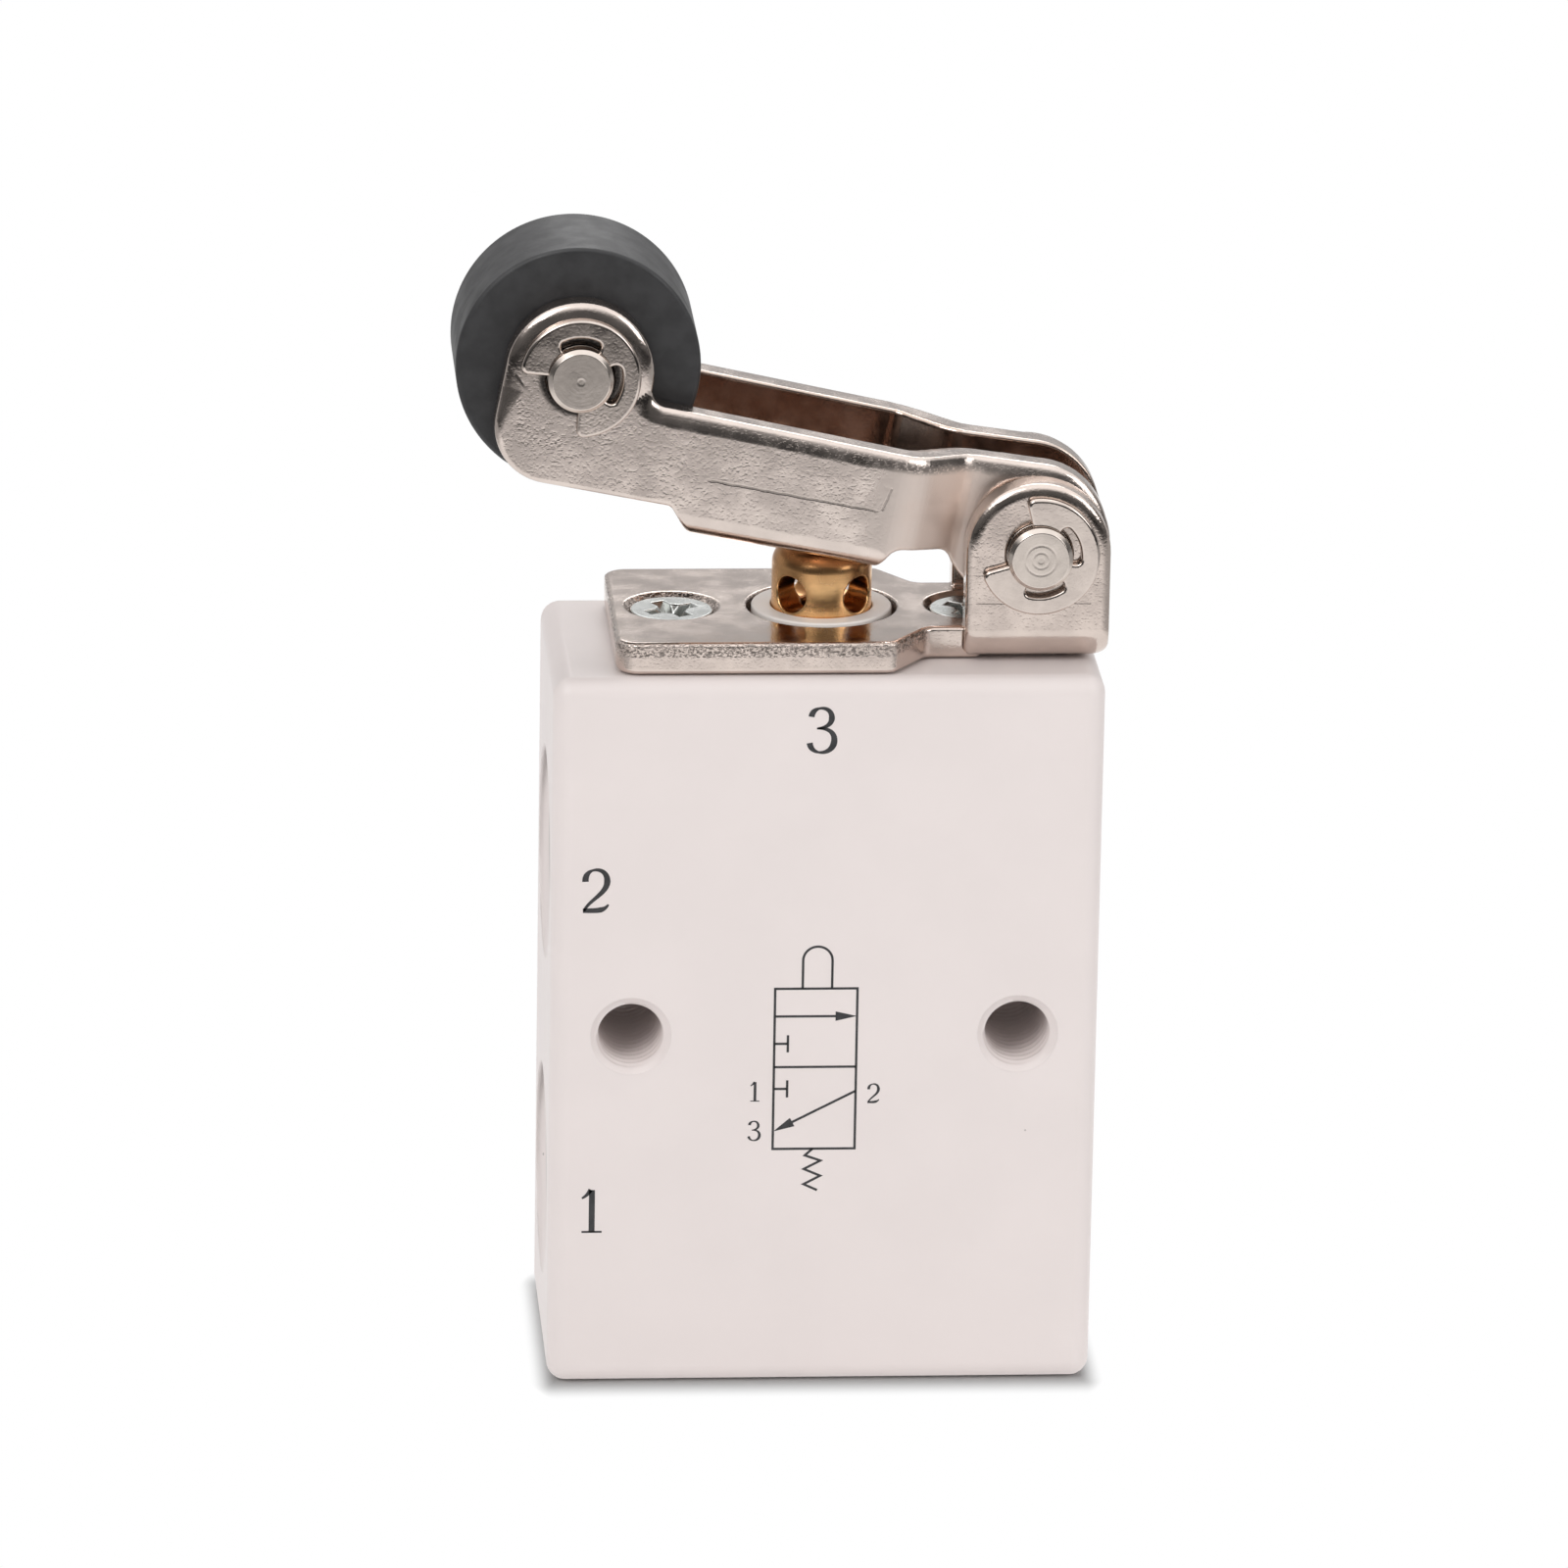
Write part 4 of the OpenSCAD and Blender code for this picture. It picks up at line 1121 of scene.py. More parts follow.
@dataclass
class FrontMarks:
    """The marks on the front face: a valve symbol of lines, and numerals as (number, x, z, height)."""

    thickness: float = 0.02
    proud: float = 0.01
    line: float = 0.15
    mitre: float = 0.35
    box_left: float = -3.11
    box_right: float = 1.99
    box_top: float = 26.05
    box_middle: float = 20.92
    box_bottom: float = 15.54
    push_x: float = -0.5
    push_z: float = 27.88
    push_r: float = 0.91
    push_steps: int = 25
    spring: tuple[Pair, ...] = (
        (-0.62, 15.54), (-1.1, 15.1), (-0.12, 14.75), (-1.15, 14.2), (-0.12, 13.75), (-1.15, 13.2),
        (-0.3, 12.8))
    stop_x: float = -2.27
    stop_half: float = 0.56
    stop_heights: Pair = (22.45, 19.49)
    flow_z: float = 24.24
    return_heights: Pair = (19.33, 16.73)
    arrow_head: float = 1.25
    arrow_widths: Pair = (0.62, 0.03)
    arrow_gap: float = 0.08
    curve_points: int = 24
    flag_points: int = 8
    foot_points: int = 14
    numerals: tuple[tuple[int, float, float, float], ...] = (
        (3, -1.45, 41.35, 2.9), (2, -15.2, 31.05, 2.85), (1, -15.1, 10.1, 2.85),
        (1, -4.62, 18.68, 1.28), (3, -4.7, 16.1, 1.28), (2, 2.68, 18.5, 1.28))

    def __post_init__(self) -> None:
        """Takes the front face from the frame."""
        self.face = node_span("valve_body")[0][1]

    def ribbon(self, path: Sequence[Sequence[float]], widths: float | Array, closed: bool = False) -> Surface:
        """A flat bar along a path on the front face: a thin oblong section carried along it, with mitres.

        Args:
            path: points (x, z) of the middle line.
            widths: the width, the same all along or one for each point.
            closed: whether the path returns to its start.

        Returns:
            The closed surface.
        """
        line = np.array(path, float)
        wide = np.broadcast_to(np.asarray(widths, float), (len(line),))
        ahead = unit(np.roll(line, -1, 0) - line)
        behind = np.roll(ahead, 1, 0)
        if not closed:
            ahead[-1], behind[0] = ahead[-2], ahead[0]
            behind[-1] = ahead[-2]
        middle = unit(ahead + behind)
        side = np.stack([-middle[:, 1], middle[:, 0]], -1)
        reach = wide / 2 / np.maximum((middle * ahead).sum(-1), self.mitre)
        left, right = line + side * reach[:, None], line - side * reach[:, None]
        front = np.full(len(line), self.face - self.proud)
        back = front + self.thickness
        section = [(left, front), (right, front), (right, back), (left, back)]
        rows = [np.stack([flat[:, 0], depth, flat[:, 1]], -1) for flat, depth in section]
        points = np.stack(rows, 1).reshape(-1, 3)
        faces = strip_faces(len(line), 4, closed, True)
        if not closed:
            last = 4 * (len(line) - 1)
            faces += [[3, 2, 1, 0], [last, last + 1, last + 2, last + 3]]
        return Surface(points, faces)

    def curve(self, *knots: Sequence[float], count: int | None = None) -> Array:
        """Points on a cubic curve, by Bernstein weights.

        Args:
            knots: its four control points.
            count: how many points there are, if it isn't the usual number.

        Returns:
            The points.
        """
        t = np.linspace(0, 1, count or self.curve_points)[:, None]
        a, b, c, d = (np.array(knot, float) for knot in knots)
        return (1 - t) ** 3 * a + 3 * (1 - t) ** 2 * t * b + 3 * (1 - t) * t * t * c + t ** 3 * d

    def stroke(self, path: Array, shares: Sequence[float], widths: Sequence[float]) -> Surface:
        """Returns a ribbon whose width runs through some widths at shares of its path's points."""
        return self.ribbon(path, np.interp(np.linspace(0, 1, len(path)), shares, widths))

    def arrow(self, tail: Sequence[float], tip: Sequence[float]) -> list[Surface]:
        """A line with a filled head, whose ribbon narrows to the tip.

        Args:
            tail, tip: the arrow's ends.

        Returns:
            The line and the head.
        """
        tail, tip = np.array(tail, float), np.array(tip, float)
        neck = tip - unit(tip - tail) * self.arrow_head
        return [self.ribbon([tail, neck], self.line), self.ribbon([neck, tip], np.array(self.arrow_widths))]

    def stop(self, z: float) -> list[Surface]:
        """Returns a closed port: a short line from the box's left side that ends in a bar."""
        bar = [(self.stop_x, z - self.stop_half), (self.stop_x, z + self.stop_half)]
        return [self.ribbon(path, self.line) for path in ([(self.box_left, z), (self.stop_x, z)], bar)]

    def symbol(self) -> list[Surface]:
        """The symbol of a three-port, two-position valve worked by a plunger against a spring.

        Returns:
            Its lines.
        """
        left, right = self.box_left, self.box_right
        low, high = self.box_bottom, self.box_top
        boxes = [(left, low), (right, low), (right, high), (left, high)]
        turn = np.linspace(math.pi, 0, self.push_steps)
        arch = np.array([self.push_x, self.push_z]) + self.push_r * np.stack([np.cos(turn), np.sin(turn)], -1)
        feet = [(self.push_x + side * self.push_r, high) for side in (-1, 1)]
        push = np.concatenate([feet[:1], arch, feet[1:]])
        divide = [(left, self.box_middle), (right, self.box_middle)]
        lines = [self.ribbon(boxes, self.line, closed=True)]
        lines += [self.ribbon(path, self.line) for path in (divide, push, self.spring)]
        lines += self.arrow((left, self.flow_z), (right - self.arrow_gap, self.flow_z))
        for z in self.stop_heights:
            lines += self.stop(z)
        start, end = self.return_heights
        return lines + self.arrow((right, start), (left + self.arrow_gap, end))

    def one(self) -> list[Surface]:
        """A numeral one of unit height: a stem, a flag and a foot.

        Returns:
            Its strokes.
        """
        flag = self.curve((0.06, 0.8), (0.14, 0.84), (0.2, 0.9), (0.25, 1.0), count=self.flag_points)
        return [self.ribbon([(0.28, 0.02), (0.28, 0.99)], 0.13),
                self.stroke(flag, [0, 1], [0.045, 0.1]),
                self.ribbon([(0.06, 0.02), (0.5, 0.02)], 0.045)]

    def two(self) -> list[Surface]:
        """A numeral two of unit height: a bowl that runs into a slope, and a heavy foot.

        Returns:
            Its strokes.
        """
        bowl = np.concatenate([self.curve((0.1, 0.72), (0.06, 1.06), (0.58, 1.1), (0.57, 0.72)),
                               self.curve((0.57, 0.72), (0.56, 0.45), (0.2, 0.32), (0.07, 0.06))[1:]])
        foot = self.curve((0.05, 0.06), (0.3, 0.07), (0.5, 0.03), (0.6, 0.2), count=self.foot_points)
        return [self.stroke(bowl, [0, 0.07, 0.2, 0.5, 0.8, 1], [0.14, 0.13, 0.05, 0.14, 0.08, 0.06]),
                self.stroke(foot, [0, 8 / 13, 1], [0.1, 0.12, 0.04])]

    def three(self) -> list[Surface]:
        """A numeral three of unit height: two bowls that meet in a short bar.

        Returns:
            Its strokes.
        """
        top = np.concatenate([self.curve((0.1, 0.8), (0.12, 1.06), (0.55, 1.06), (0.53, 0.76)),
                              self.curve((0.53, 0.76), (0.52, 0.6), (0.36, 0.55), (0.22, 0.54))[1:]])
        lower = np.concatenate([self.curve((0.22, 0.54), (0.45, 0.56), (0.6, 0.46), (0.59, 0.27)),
                                self.curve((0.59, 0.27), (0.58, -0.06), (0.1, -0.08), (0.07, 0.22))[1:]])
        return [self.stroke(top, [0, 0.08, 0.2, 0.5, 0.8, 1], [0.13, 0.12, 0.05, 0.13, 0.07, 0.04]),
                self.stroke(lower, [0, 0.4, 0.55, 0.8, 0.94, 1], [0.04, 0.12, 0.14, 0.05, 0.12, 0.13])]

    def numeral(self, strokes: list[Surface], x: float, z: float, height: float) -> list[Surface]:
        """Puts a numeral's strokes on the face at their real height.

        Args:
            strokes: the strokes, of unit height.
            x, z: where their lower left corner goes.
            height: the real height.

        Returns:
            The placed strokes.
        """
        placed = []
        for stroke in strokes:
            points = stroke.points.copy()
            points[:, 0] = x + points[:, 0] * height
            points[:, 2] = z + points[:, 2] * height
            placed.append(Surface(points, stroke.faces))
        return placed

    def build(self) -> None:
        """Makes all marks as one printed piece with flat faces."""
        glyphs = {1: self.one(), 2: self.two(), 3: self.three()}
        strokes = self.symbol()
        for number, x, z, height in self.numerals:
            strokes += self.numeral(glyphs[number], x, z, height)
        whole = strokes[0]
        for stroke in strokes[1:]:
            whole = whole.joined(stroke)
        made = Piece("front_marks", INK, Body.VALVE, None, ()).register(whole)
        made.data.polygons.foreach_set("use_smooth", np.zeros(len(made.data.polygons), bool))


@dataclass(frozen=True)
class CrossRecess:
    """A cross recess: its arms' half width and reach and its well's radius at the face, and their slopes."""

    half: float = 0.42
    half_slope: float = 0.12
    reach: float = 1.7
    reach_slope: float = 0.6
    well: float = 0.95
    well_slope: float = 0.8
    deep: float = 0.7
    floor_slope: float = 0.35
    fillets: Pair = (0.12, 0.1)

    def shape(self, u: Array, v: Array, z: Array) -> Array:
        """Distance to the recess: two arms and a well, above a floor that falls outwards.

        Args:
            u, v: distances from the two planes that the arms lie in.
            z: height over the screw's face.

        Returns:
            The distances.
        """
        radius = np.hypot(u, v)
        arms = [np.maximum(b - self.half - self.half_slope * z, a - self.reach - self.reach_slope * z)
                for a, b in ((u, v), (v, u))]
        well = radius - self.well - self.well_slope * z
        opened = join(join(arms[0], arms[1], self.fillets[0]), well, self.fillets[1])
        return np.maximum(opened, -self.deep - self.floor_slope * radius - z)


@dataclass
class Bracket:
    """The plated sheet bracket with its plate, neck and ears, and the two screws that hold it."""

    sheet: float = 2.1
    reach: float = 13.1
    plate_w: float = 16.2
    corner: float = 1.4
    neck_w: float = 9.8
    neck_corner: float = 1.0
    taper: Pair = (4.0, 6.2)
    ear_out: float = 6.1
    ear_in: float = 4.0
    ear_w: float = 8.9
    bend: float = 2.3
    foot: float = 1.2
    overlap: float = 1.0
    crown_steps: int = 40
    bush_hole: float = 4.65
    bush_edge: float = 0.15
    pin_hole: float = 2.02
    screw_x: float = 9.3
    screw_r: float = 1.5
    screw_len: float = 5.8
    screw_turns: Pair = (28.0, 60.0)
    screw_spare: float = 0.05
    head_r: float = 2.85
    head_sunk: float = 0.2
    head_edge: float = 0.16
    head_gap: float = 0.14
    cone_spare: float = 0.2
    shank_top: float = 0.6
    shank_gap: float = 0.3
    shank_edge: float = 0.15
    shank_fillet: float = 0.1
    sink_edge: float = 0.06
    recess: CrossRecess = CrossRecess()
    recess_edge: float = 0.07
    edge: float = 0.12
    top_edge: float = 0.22
    roll: float = 0.42
    roll_slope: float = 0.55
    tear_height: float = 0.86
    tear_fade: Pair = (1.5, 5.2)
    side_fade: Pair = (-0.4, -2.0)
    tool_lines: Row = (1.95, 3.75)
    line_ends: Pair = (0.5, 1.0)
    line_face: float = 0.05
    line_width: float = 0.09
    line_share: float = 0.2
    step: float = 0.12
    screw_step: float = 0.06

    def __post_init__(self) -> None:
        """Takes heights and the pivot from the frame."""
        self.bottom = node_span("lever_bracket")[0][2]
        self.top = self.bottom + self.sheet
        self.pivot = joint_place("lever_pivot")
        half, neck = self.plate_w / 2, self.neck_w / 2
        start = self.pivot[0] - self.ear_w / 2 + self.overlap
        right = [(self.taper[0], -half, self.neck_corner), (self.taper[1], -neck, self.neck_corner),
                 (start, -neck, 0)]
        left = [(x, -y, r) for x, y, r in right[::-1]]
        corners = [(-self.reach, -half, self.corner), *right, *left, (-self.reach, half, self.corner)]
        self.plate = rounded(corners)[0]
        x0, x1 = self.pivot[0] - self.ear_w / 2, self.pivot[0] + self.ear_w / 2
        turn = np.linspace(0, math.pi, self.crown_steps)
        crown = self.pivot[[0, 2]] + self.ear_w / 2 * np.stack([np.cos(turn), np.sin(turn)], -1)
        foot = rounded([(x0, self.bottom, 0), (x1, self.bottom, self.foot), (x1, self.pivot[2], 0)])[0][:-1]
        self.ear = np.concatenate([foot, crown])

    def shape(self, x: Array, y: Array, z: Array) -> Array:
        """Distance to the bracket: the plate, joined to two ears bent up from it, less its holes.

        Args:
            x, y, z: coordinates, which broadcast.

        Returns:
            The distances.
        """
        rim = outline_distance(self.plate, x, y)
        plate = cut(cut(rim * self.roll_slope, self.bottom - z, self.roll), z - self.top, self.top_edge)
        outside = cut(np.abs(y) - self.ear_out, self.bottom - z, self.bend)
        channel = cut(np.abs(y) - self.ear_in, self.top - z, self.bend - self.sheet)
        ear_rim = outline_distance(self.ear, x, z)
        ears = cut(cut(ear_rim * self.roll_slope, outside, self.roll), -channel, self.edge)
        whole = np.minimum(plate, ears)
        whole = cut(whole, self.bush_hole - np.hypot(x, y), self.bush_edge)
        whole = cut(whole, self.pin_hole - np.hypot(x - self.pivot[0], z - self.pivot[2]), self.edge)
        radius = np.hypot(np.abs(x) - self.screw_x, y)
        sunk = (self.head_r + self.head_gap + z - self.top - radius) / math.sqrt(2)
        sunk = np.minimum(sunk, self.top + self.edge - z)
        return cut(whole, np.maximum(sunk, self.screw_r + self.shank_gap - radius), self.sink_edge)

    def sheared(self, surface: Surface) -> Array:
        """Share of torn grain: where the plate's rim faces sideways, in the upper half of the sheet.

        Args:
            surface: the bracket's surface.

        Returns:
            The share at each point.
        """
        height = (surface.points[:, 2] - self.bottom) / self.sheet
        rim = fade(*self.tear_fade, np.abs(height - self.tear_height))
        sideways = fade(*self.side_fade, np.hypot(surface.normals[:, 0], surface.normals[:, 1]))
        return rim * sideways * (surface.points[:, 0] < self.taper[1])

    def screw(self, turn: float) -> Surface:
        """A countersunk screw about local z, its face at 0, with a cross recess that tapers as it deepens.

        Args:
            turn: the recess's turn, in degrees.

        Returns:
            The surface.
        """
        c, s = math.cos(math.radians(turn)), math.sin(math.radians(turn))

        def shape(x: Array, y: Array, z: Array) -> Array:
            """Distance to the screw: a cone and a shank, less the recess.

            Args:
                x, y, z: coordinates, which broadcast.

            Returns:
                The distances.
            """
            radius = np.hypot(x, y)
            head = cut((radius - self.head_r + self.head_sunk - z) / math.sqrt(2), z, self.head_edge)
            head = np.maximum(head, self.screw_r - self.head_r - self.cone_spare - z)
            shank = cut(radius - self.screw_r, slab(z, -self.screw_len, -self.shank_top), self.shank_edge)
            recess = self.recess.shape(np.abs(c * x + s * y), np.abs(c * y - s * x), z)
            return cut(join(head, shank, self.shank_fillet), -recess, self.recess_edge)

        wide = self.head_r + self.screw_spare
        high = (wide, wide, self.screw_spare)
        return solid(shape, (-wide, -wide, -self.screw_len), high, self.screw_step)

    def build(self) -> None:
        """Makes the bracket and its screws."""
        x0, x1 = self.pivot[0] - self.ear_w / 2, self.pivot[0] + self.ear_w / 2
        high = (x1, self.plate_w / 2, self.pivot[2] + self.ear_w / 2)
        sheet = solid(self.shape, (-self.reach, -self.plate_w / 2, self.bottom), high, self.step)
        sheet.marks["tear_and_band_share"] = self.sheared(sheet)
        x0, x1 = x0 + self.line_ends[0], x1 - self.line_ends[1]
        lines = tuple(Scribe((x0, self.top + rise), (x1, self.top + rise), self.line_face - self.ear_out,
                             self.line_width, self.line_share) for rise in self.tool_lines)
        finish = replace(SHEET, lines=lines)
        Piece("sheet_bracket", finish, Body.VALVE, "plated_sheet", ("lever_bracket",)).register(sheet)
        left, right = (self.screw(turn).placed(Axis.UP, (side * self.screw_x, 0, self.top - self.head_sunk))
                       for turn, side in zip(self.screw_turns, (-1, 1)))
        piece = Piece("countersunk_screws", ZINC, Body.VALVE, "zinc_screw", ("bracket_screws",))
        piece.register(left.joined(right))


@dataclass(frozen=True)
class LeverWear:
    """Where the lever's plating is torn or stretched, and where a dark band, shade, a highlight and a pin's
    shadow are painted on it. A fade has a start and a slope.
    """

    # a painted dark band on the side faces under the top edge, where a dark reflection falls
    band_x: Row = (-24.0, -18.0, -9.0, -5.0)
    band_shares: Row = (0.1, 0.8, 1.0, 0.5)
    band_depth: float = 0.62
    band_fade: Pair = (1.4, 3.2)
    band_low: float = 2.5
    band_view: float = 0.75
    band_share: float = 0.9
    rim_fade: Pair = (-2.0, -3.0)
    rim_share: float = 0.3
    # painted shade inside the channel, and below it under the web
    inside_gap: float = 0.1
    inside_slope: float = 20.0
    under_rise: float = 0.8
    under_fade: float = 0.5
    # the jog's bend: rougher, and painted lighter
    drawn_fade: Pair = (1.6, 1 / 3)
    drawn_up: Pair = (1.5, 4.0)
    # painted shadow round the roller pin, on the outer faces
    pin_shadow_reach: float = 0.62
    pin_shadow_fade: float = 0.25
    pin_shadow_skin: float = 0.3


@dataclass
class LeverArm:
    """The stamped channel lever: wide at the roller, jogged in to its narrow end, with a web below."""

    reach: float = 30.0
    rise: float = 5.95
    wide: Pair = (6.4, 4.4)
    narrow: Pair = (3.8, 1.8)
    head: float = 4.55
    chin: float = 3.6
    end: float = 4.7
    end_slack: float = 0.1
    crown: Triple = (-0.25, 0.35, 4.65)
    heel: Triple = (-2.1, 0.0, 3.5)
    arm_top: float = 4.95
    waist_top: float = 4.6
    waist_r: float = 12.0
    arm_low: float = -0.9
    edge_lows: Pair = (-1.1, -1.3)
    web_low: float = -2.8
    web_near: float = -9.7
    web_far: float = -21.4
    web_slopes: Pair = (0.8, 1.5)
    web_bend: float = 1.4
    sheet: float = 2.0
    jog: Pair = (-8.4, -5.05)
    jog_bend: Pair = (4.0, 1.5)
    notch: float = 1.0
    fillet: float = 0.55
    holes: Pair = (2.05, 2.02)
    hole_edge: float = 0.12
    edge: float = 0.16
    rolls: Pair = (0.2, 0.5)
    roll_slopes: Pair = (0.9, 0.36)
    roll_heights: Pair = (-0.6, 4.4)
    back_roll: float = 0.5
    scribe: tuple[Pair, ...] = ((-21.2, 1.04), (-10.2, 1.04), (-9.9, 2.6))
    scribe_shares: Row = (0.55, 0.35)
    scribe_face: float = 0.2
    web_notch: float = 0.5
    web_spare: float = 2.0
    web_corner: float = 0.3
    plan_spare: float = 3.0
    wear: LeverWear = LeverWear()
    step: float = 0.15

    def __post_init__(self) -> None:
        """Takes the pivot and the tilt from the frame, and works out the outlines in the lever's frame."""
        self.pivot = joint_place("lever_pivot")
        away = joint_place("roller_spin") - self.pivot
        self.tilt = math.atan2(self.rise, -self.reach) - math.atan2(away[2], away[0])
        near, far = self.web_near + self.web_slopes[0], self.web_far - self.web_slopes[1]
        self.web_span = far, near
        left, right = -self.reach - self.head, -self.reach + self.head
        deep = self.web_low - self.web_spare
        spare = self.web_spare / (self.arm_low - self.web_low)
        deep_far = self.web_far + spare * self.web_slopes[1]
        deep_near = self.web_near - spare * self.web_slopes[0]
        top = self.crown[1] + self.crown[2]
        self.arm = rounded([
            (left, self.edge_lows[0], self.chin), (far, self.edge_lows[0], self.web_notch),
            (deep_far, deep, 0), (deep_near, deep, 0),
            (near, self.edge_lows[1], self.notch), (0, self.edge_lows[1], 0), (self.crown[0], top, 0),
            (self.jog[0], self.waist_top, self.waist_r), (right, self.arm_top, self.notch),
            (right, self.rise, 0), (left, self.rise, 0)])[0]
        bent = math.atan2(self.wide[0] - self.narrow[0], self.jog[1] - self.jog[0])
        shift = self.sheet * math.tan(bent / 2)
        self.outer = self.plan(self.wide[0], self.narrow[0], 0, self.jog_bend)
        self.inner = self.plan(self.wide[1], self.narrow[1], shift, self.jog_bend[::-1])

    def plan(self, wide: float, narrow: float, shift: float, bends: Pair) -> Array:
        """One face of the channel from above: two widths joined by a jog with rounded bends.

        Args:
            wide, narrow: half widths at the roller and at the pivot.
            shift: how far the jog lies towards the roller.
            bends: radii at the jog's two ends.

        Returns:
            The outline's points.
        """
        far, near = -self.reach - self.head - self.plan_spare, self.end + self.plan_spare
        front = [(far, -wide, 0), (self.jog[0] - shift, -wide, bends[0]),
                 (self.jog[1] - shift, -narrow, bends[1]), (near, -narrow, 0)]
        return rounded(front + [(x, -y, r) for x, y, r in front[::-1]])[0]

    def shape(self, x: Array, y: Array, z: Array) -> Array:
        """Distance to the lever: its side view carried across, shaped to its plan, hollowed above the web.

        Args:
            x, y, z: coordinates in the lever's frame, which broadcast against each other.

        Returns:
            The distances.
        """
        arm = outline_distance(self.arm, x, z)
        end = np.minimum(np.hypot(x, z) - self.end + self.end_slack,
                         np.hypot(x - self.crown[0], z - self.crown[1]) - self.crown[2])
        end = join(end, np.hypot(x - self.heel[0], z - self.heel[1]) - self.heel[2], self.fillet)
        head = np.hypot(x + self.reach, z - self.rise) - self.head
        end = np.where(x > self.web_span[1], end, FAR)
        view = np.where(z < 0, join(arm, end, self.fillet), np.minimum(arm, end))
        view = np.minimum(view, head)
        bent = cut(np.abs(y) - self.wide[0], self.web_low - z, self.web_bend)
        sides = np.maximum(outline_distance(self.outer, x, y), np.where(x < self.web_span[1], bent, -FAR))
        floor = np.minimum(self.arm_low - z, np.minimum(x - self.web_span[0], self.web_span[1] - x))
        hollow = cut(outline_distance(self.inner, x, y), floor, self.web_corner)
        low, high = self.roll_heights
        upper = np.clip((z - low) / (high - low), 0, 1) * np.where(y < 0, 1.0, self.back_roll)
        roll = self.rolls[0] + (self.rolls[1] - self.rolls[0]) * upper
        slope = self.roll_slopes[0] + (self.roll_slopes[1] - self.roll_slopes[0]) * upper
        whole = cut(cut(view * slope, sides, roll), -hollow, self.edge)
        whole = cut(whole, self.holes[0] - np.hypot(x, z), self.hole_edge)
        return cut(whole, self.holes[1] - np.hypot(x + self.reach, z - self.rise), self.hole_edge)

    def inner_reach(self, x: Array) -> Array:
        """Returns half the channel's clear width along the lever, straight between the jog's ends."""
        return np.interp(x, [self.jog[0], self.jog[1]], [self.wide[1], self.narrow[1]])

    def world(self, surface: Surface) -> Surface:
        """Turns a surface from the lever's own frame into the valve's frame.

        Args:
            surface: the surface, with normals.

        Returns:
            The turned surface.
        """
        c, s = math.cos(self.tilt), math.sin(self.tilt)
        turn = np.array([[c, 0, -s], [0, 1, 0], [s, 0, c]])
        points, normals = surface.points @ turn + self.pivot, surface.normals @ turn
        return Surface(points, surface.faces, normals, surface.marks)

    def marks(self, arm: Surface) -> dict[str, Array]:
        """Shares of wear and painted light: torn rims with a painted dark band under the top edge, painted
        shade inside the channel and under the web, the jog's stretched bend painted lighter, and a painted
        shadow round the roller pin.

        Args:
            arm: the lever's surface, in its own frame.

        Returns:
            The shares at each point, by name.
        """
        wear = self.wear
        x, y, z = arm.points.T
        view, up = np.hypot(arm.normals[:, 0], arm.normals[:, 2]), arm.normals[:, 2]
        # painted shade inside the channel
        inside = np.clip((self.inner_reach(x) + wear.inside_gap - np.abs(y)) * wear.inside_slope, 0, 1)
        depth = -outline_distance(self.arm, x, z)
        # painted dark band under the top edge, put together with the torn rims
        band = fade(*wear.band_fade, np.abs(depth - wear.band_depth)) * (z > wear.band_low)
        band = band * np.interp(x, wear.band_x, wear.band_shares) * (view < wear.band_view) * wear.band_share
        rim = fade(*wear.rim_fade, view) * wear.rim_share
        # painted shade under the web
        under = np.clip((self.web_low + wear.under_rise - z) / wear.under_fade, 0, 1) * (x < self.web_span[1])
        # the jog's bend: rougher, and painted lighter
        drawn_and_lit = fade(*wear.drawn_fade, np.abs(x - sum(self.jog) / 2)) * fade(*wear.drawn_up, up)
        # painted shadow round the roller pin, on the outer faces
        root = np.hypot(x + self.reach, z - self.rise) - self.holes[1]
        pin_shadow = np.clip((wear.pin_shadow_reach - root) / wear.pin_shadow_fade, 0, 1)
        return {
            "tear_and_band_share": np.maximum(rim, band) * (1 - inside),
            "inside": np.maximum(inside, under),
            "dull": drawn_and_lit * (1 - inside),
            "pin_shadow": pin_shadow * (np.abs(y) > self.wide[0] - wear.pin_shadow_skin),
        }

    def build(self) -> None:
        """Makes the lever."""
        low = (-self.reach - self.head, -self.wide[0], -self.end)
        high = (self.end, self.wide[0], self.rise + self.head)
        arm = solid(self.shape, low, high, self.step)
        arm.marks = self.marks(arm)
        corners = np.array([[x, 0, z] for x, z in self.scribe])
        ends = self.world(Surface(corners, [], np.zeros_like(corners))).points[:, [0, 2]].tolist()
        lines = tuple(Scribe(tuple(start), tuple(end), self.scribe_face - self.wide[0], share=share)
                      for start, end, share in zip(ends, ends[1:], self.scribe_shares))
        # the darker tear tint also paints the dark band under the top edge
        finish = replace(SHEET, name="lever_plating", colour=LEVER_NICKEL, lines=lines, pit_depth=0.0024,
                         dent_depth=0.008, tear_depth=0.008, tear_range=(0.32, 0.5), tear_and_band_tint=0.25)
        Piece("channel_lever", finish, Body.LEVER, "plated_sheet", ("lever",)).register(self.world(arm))


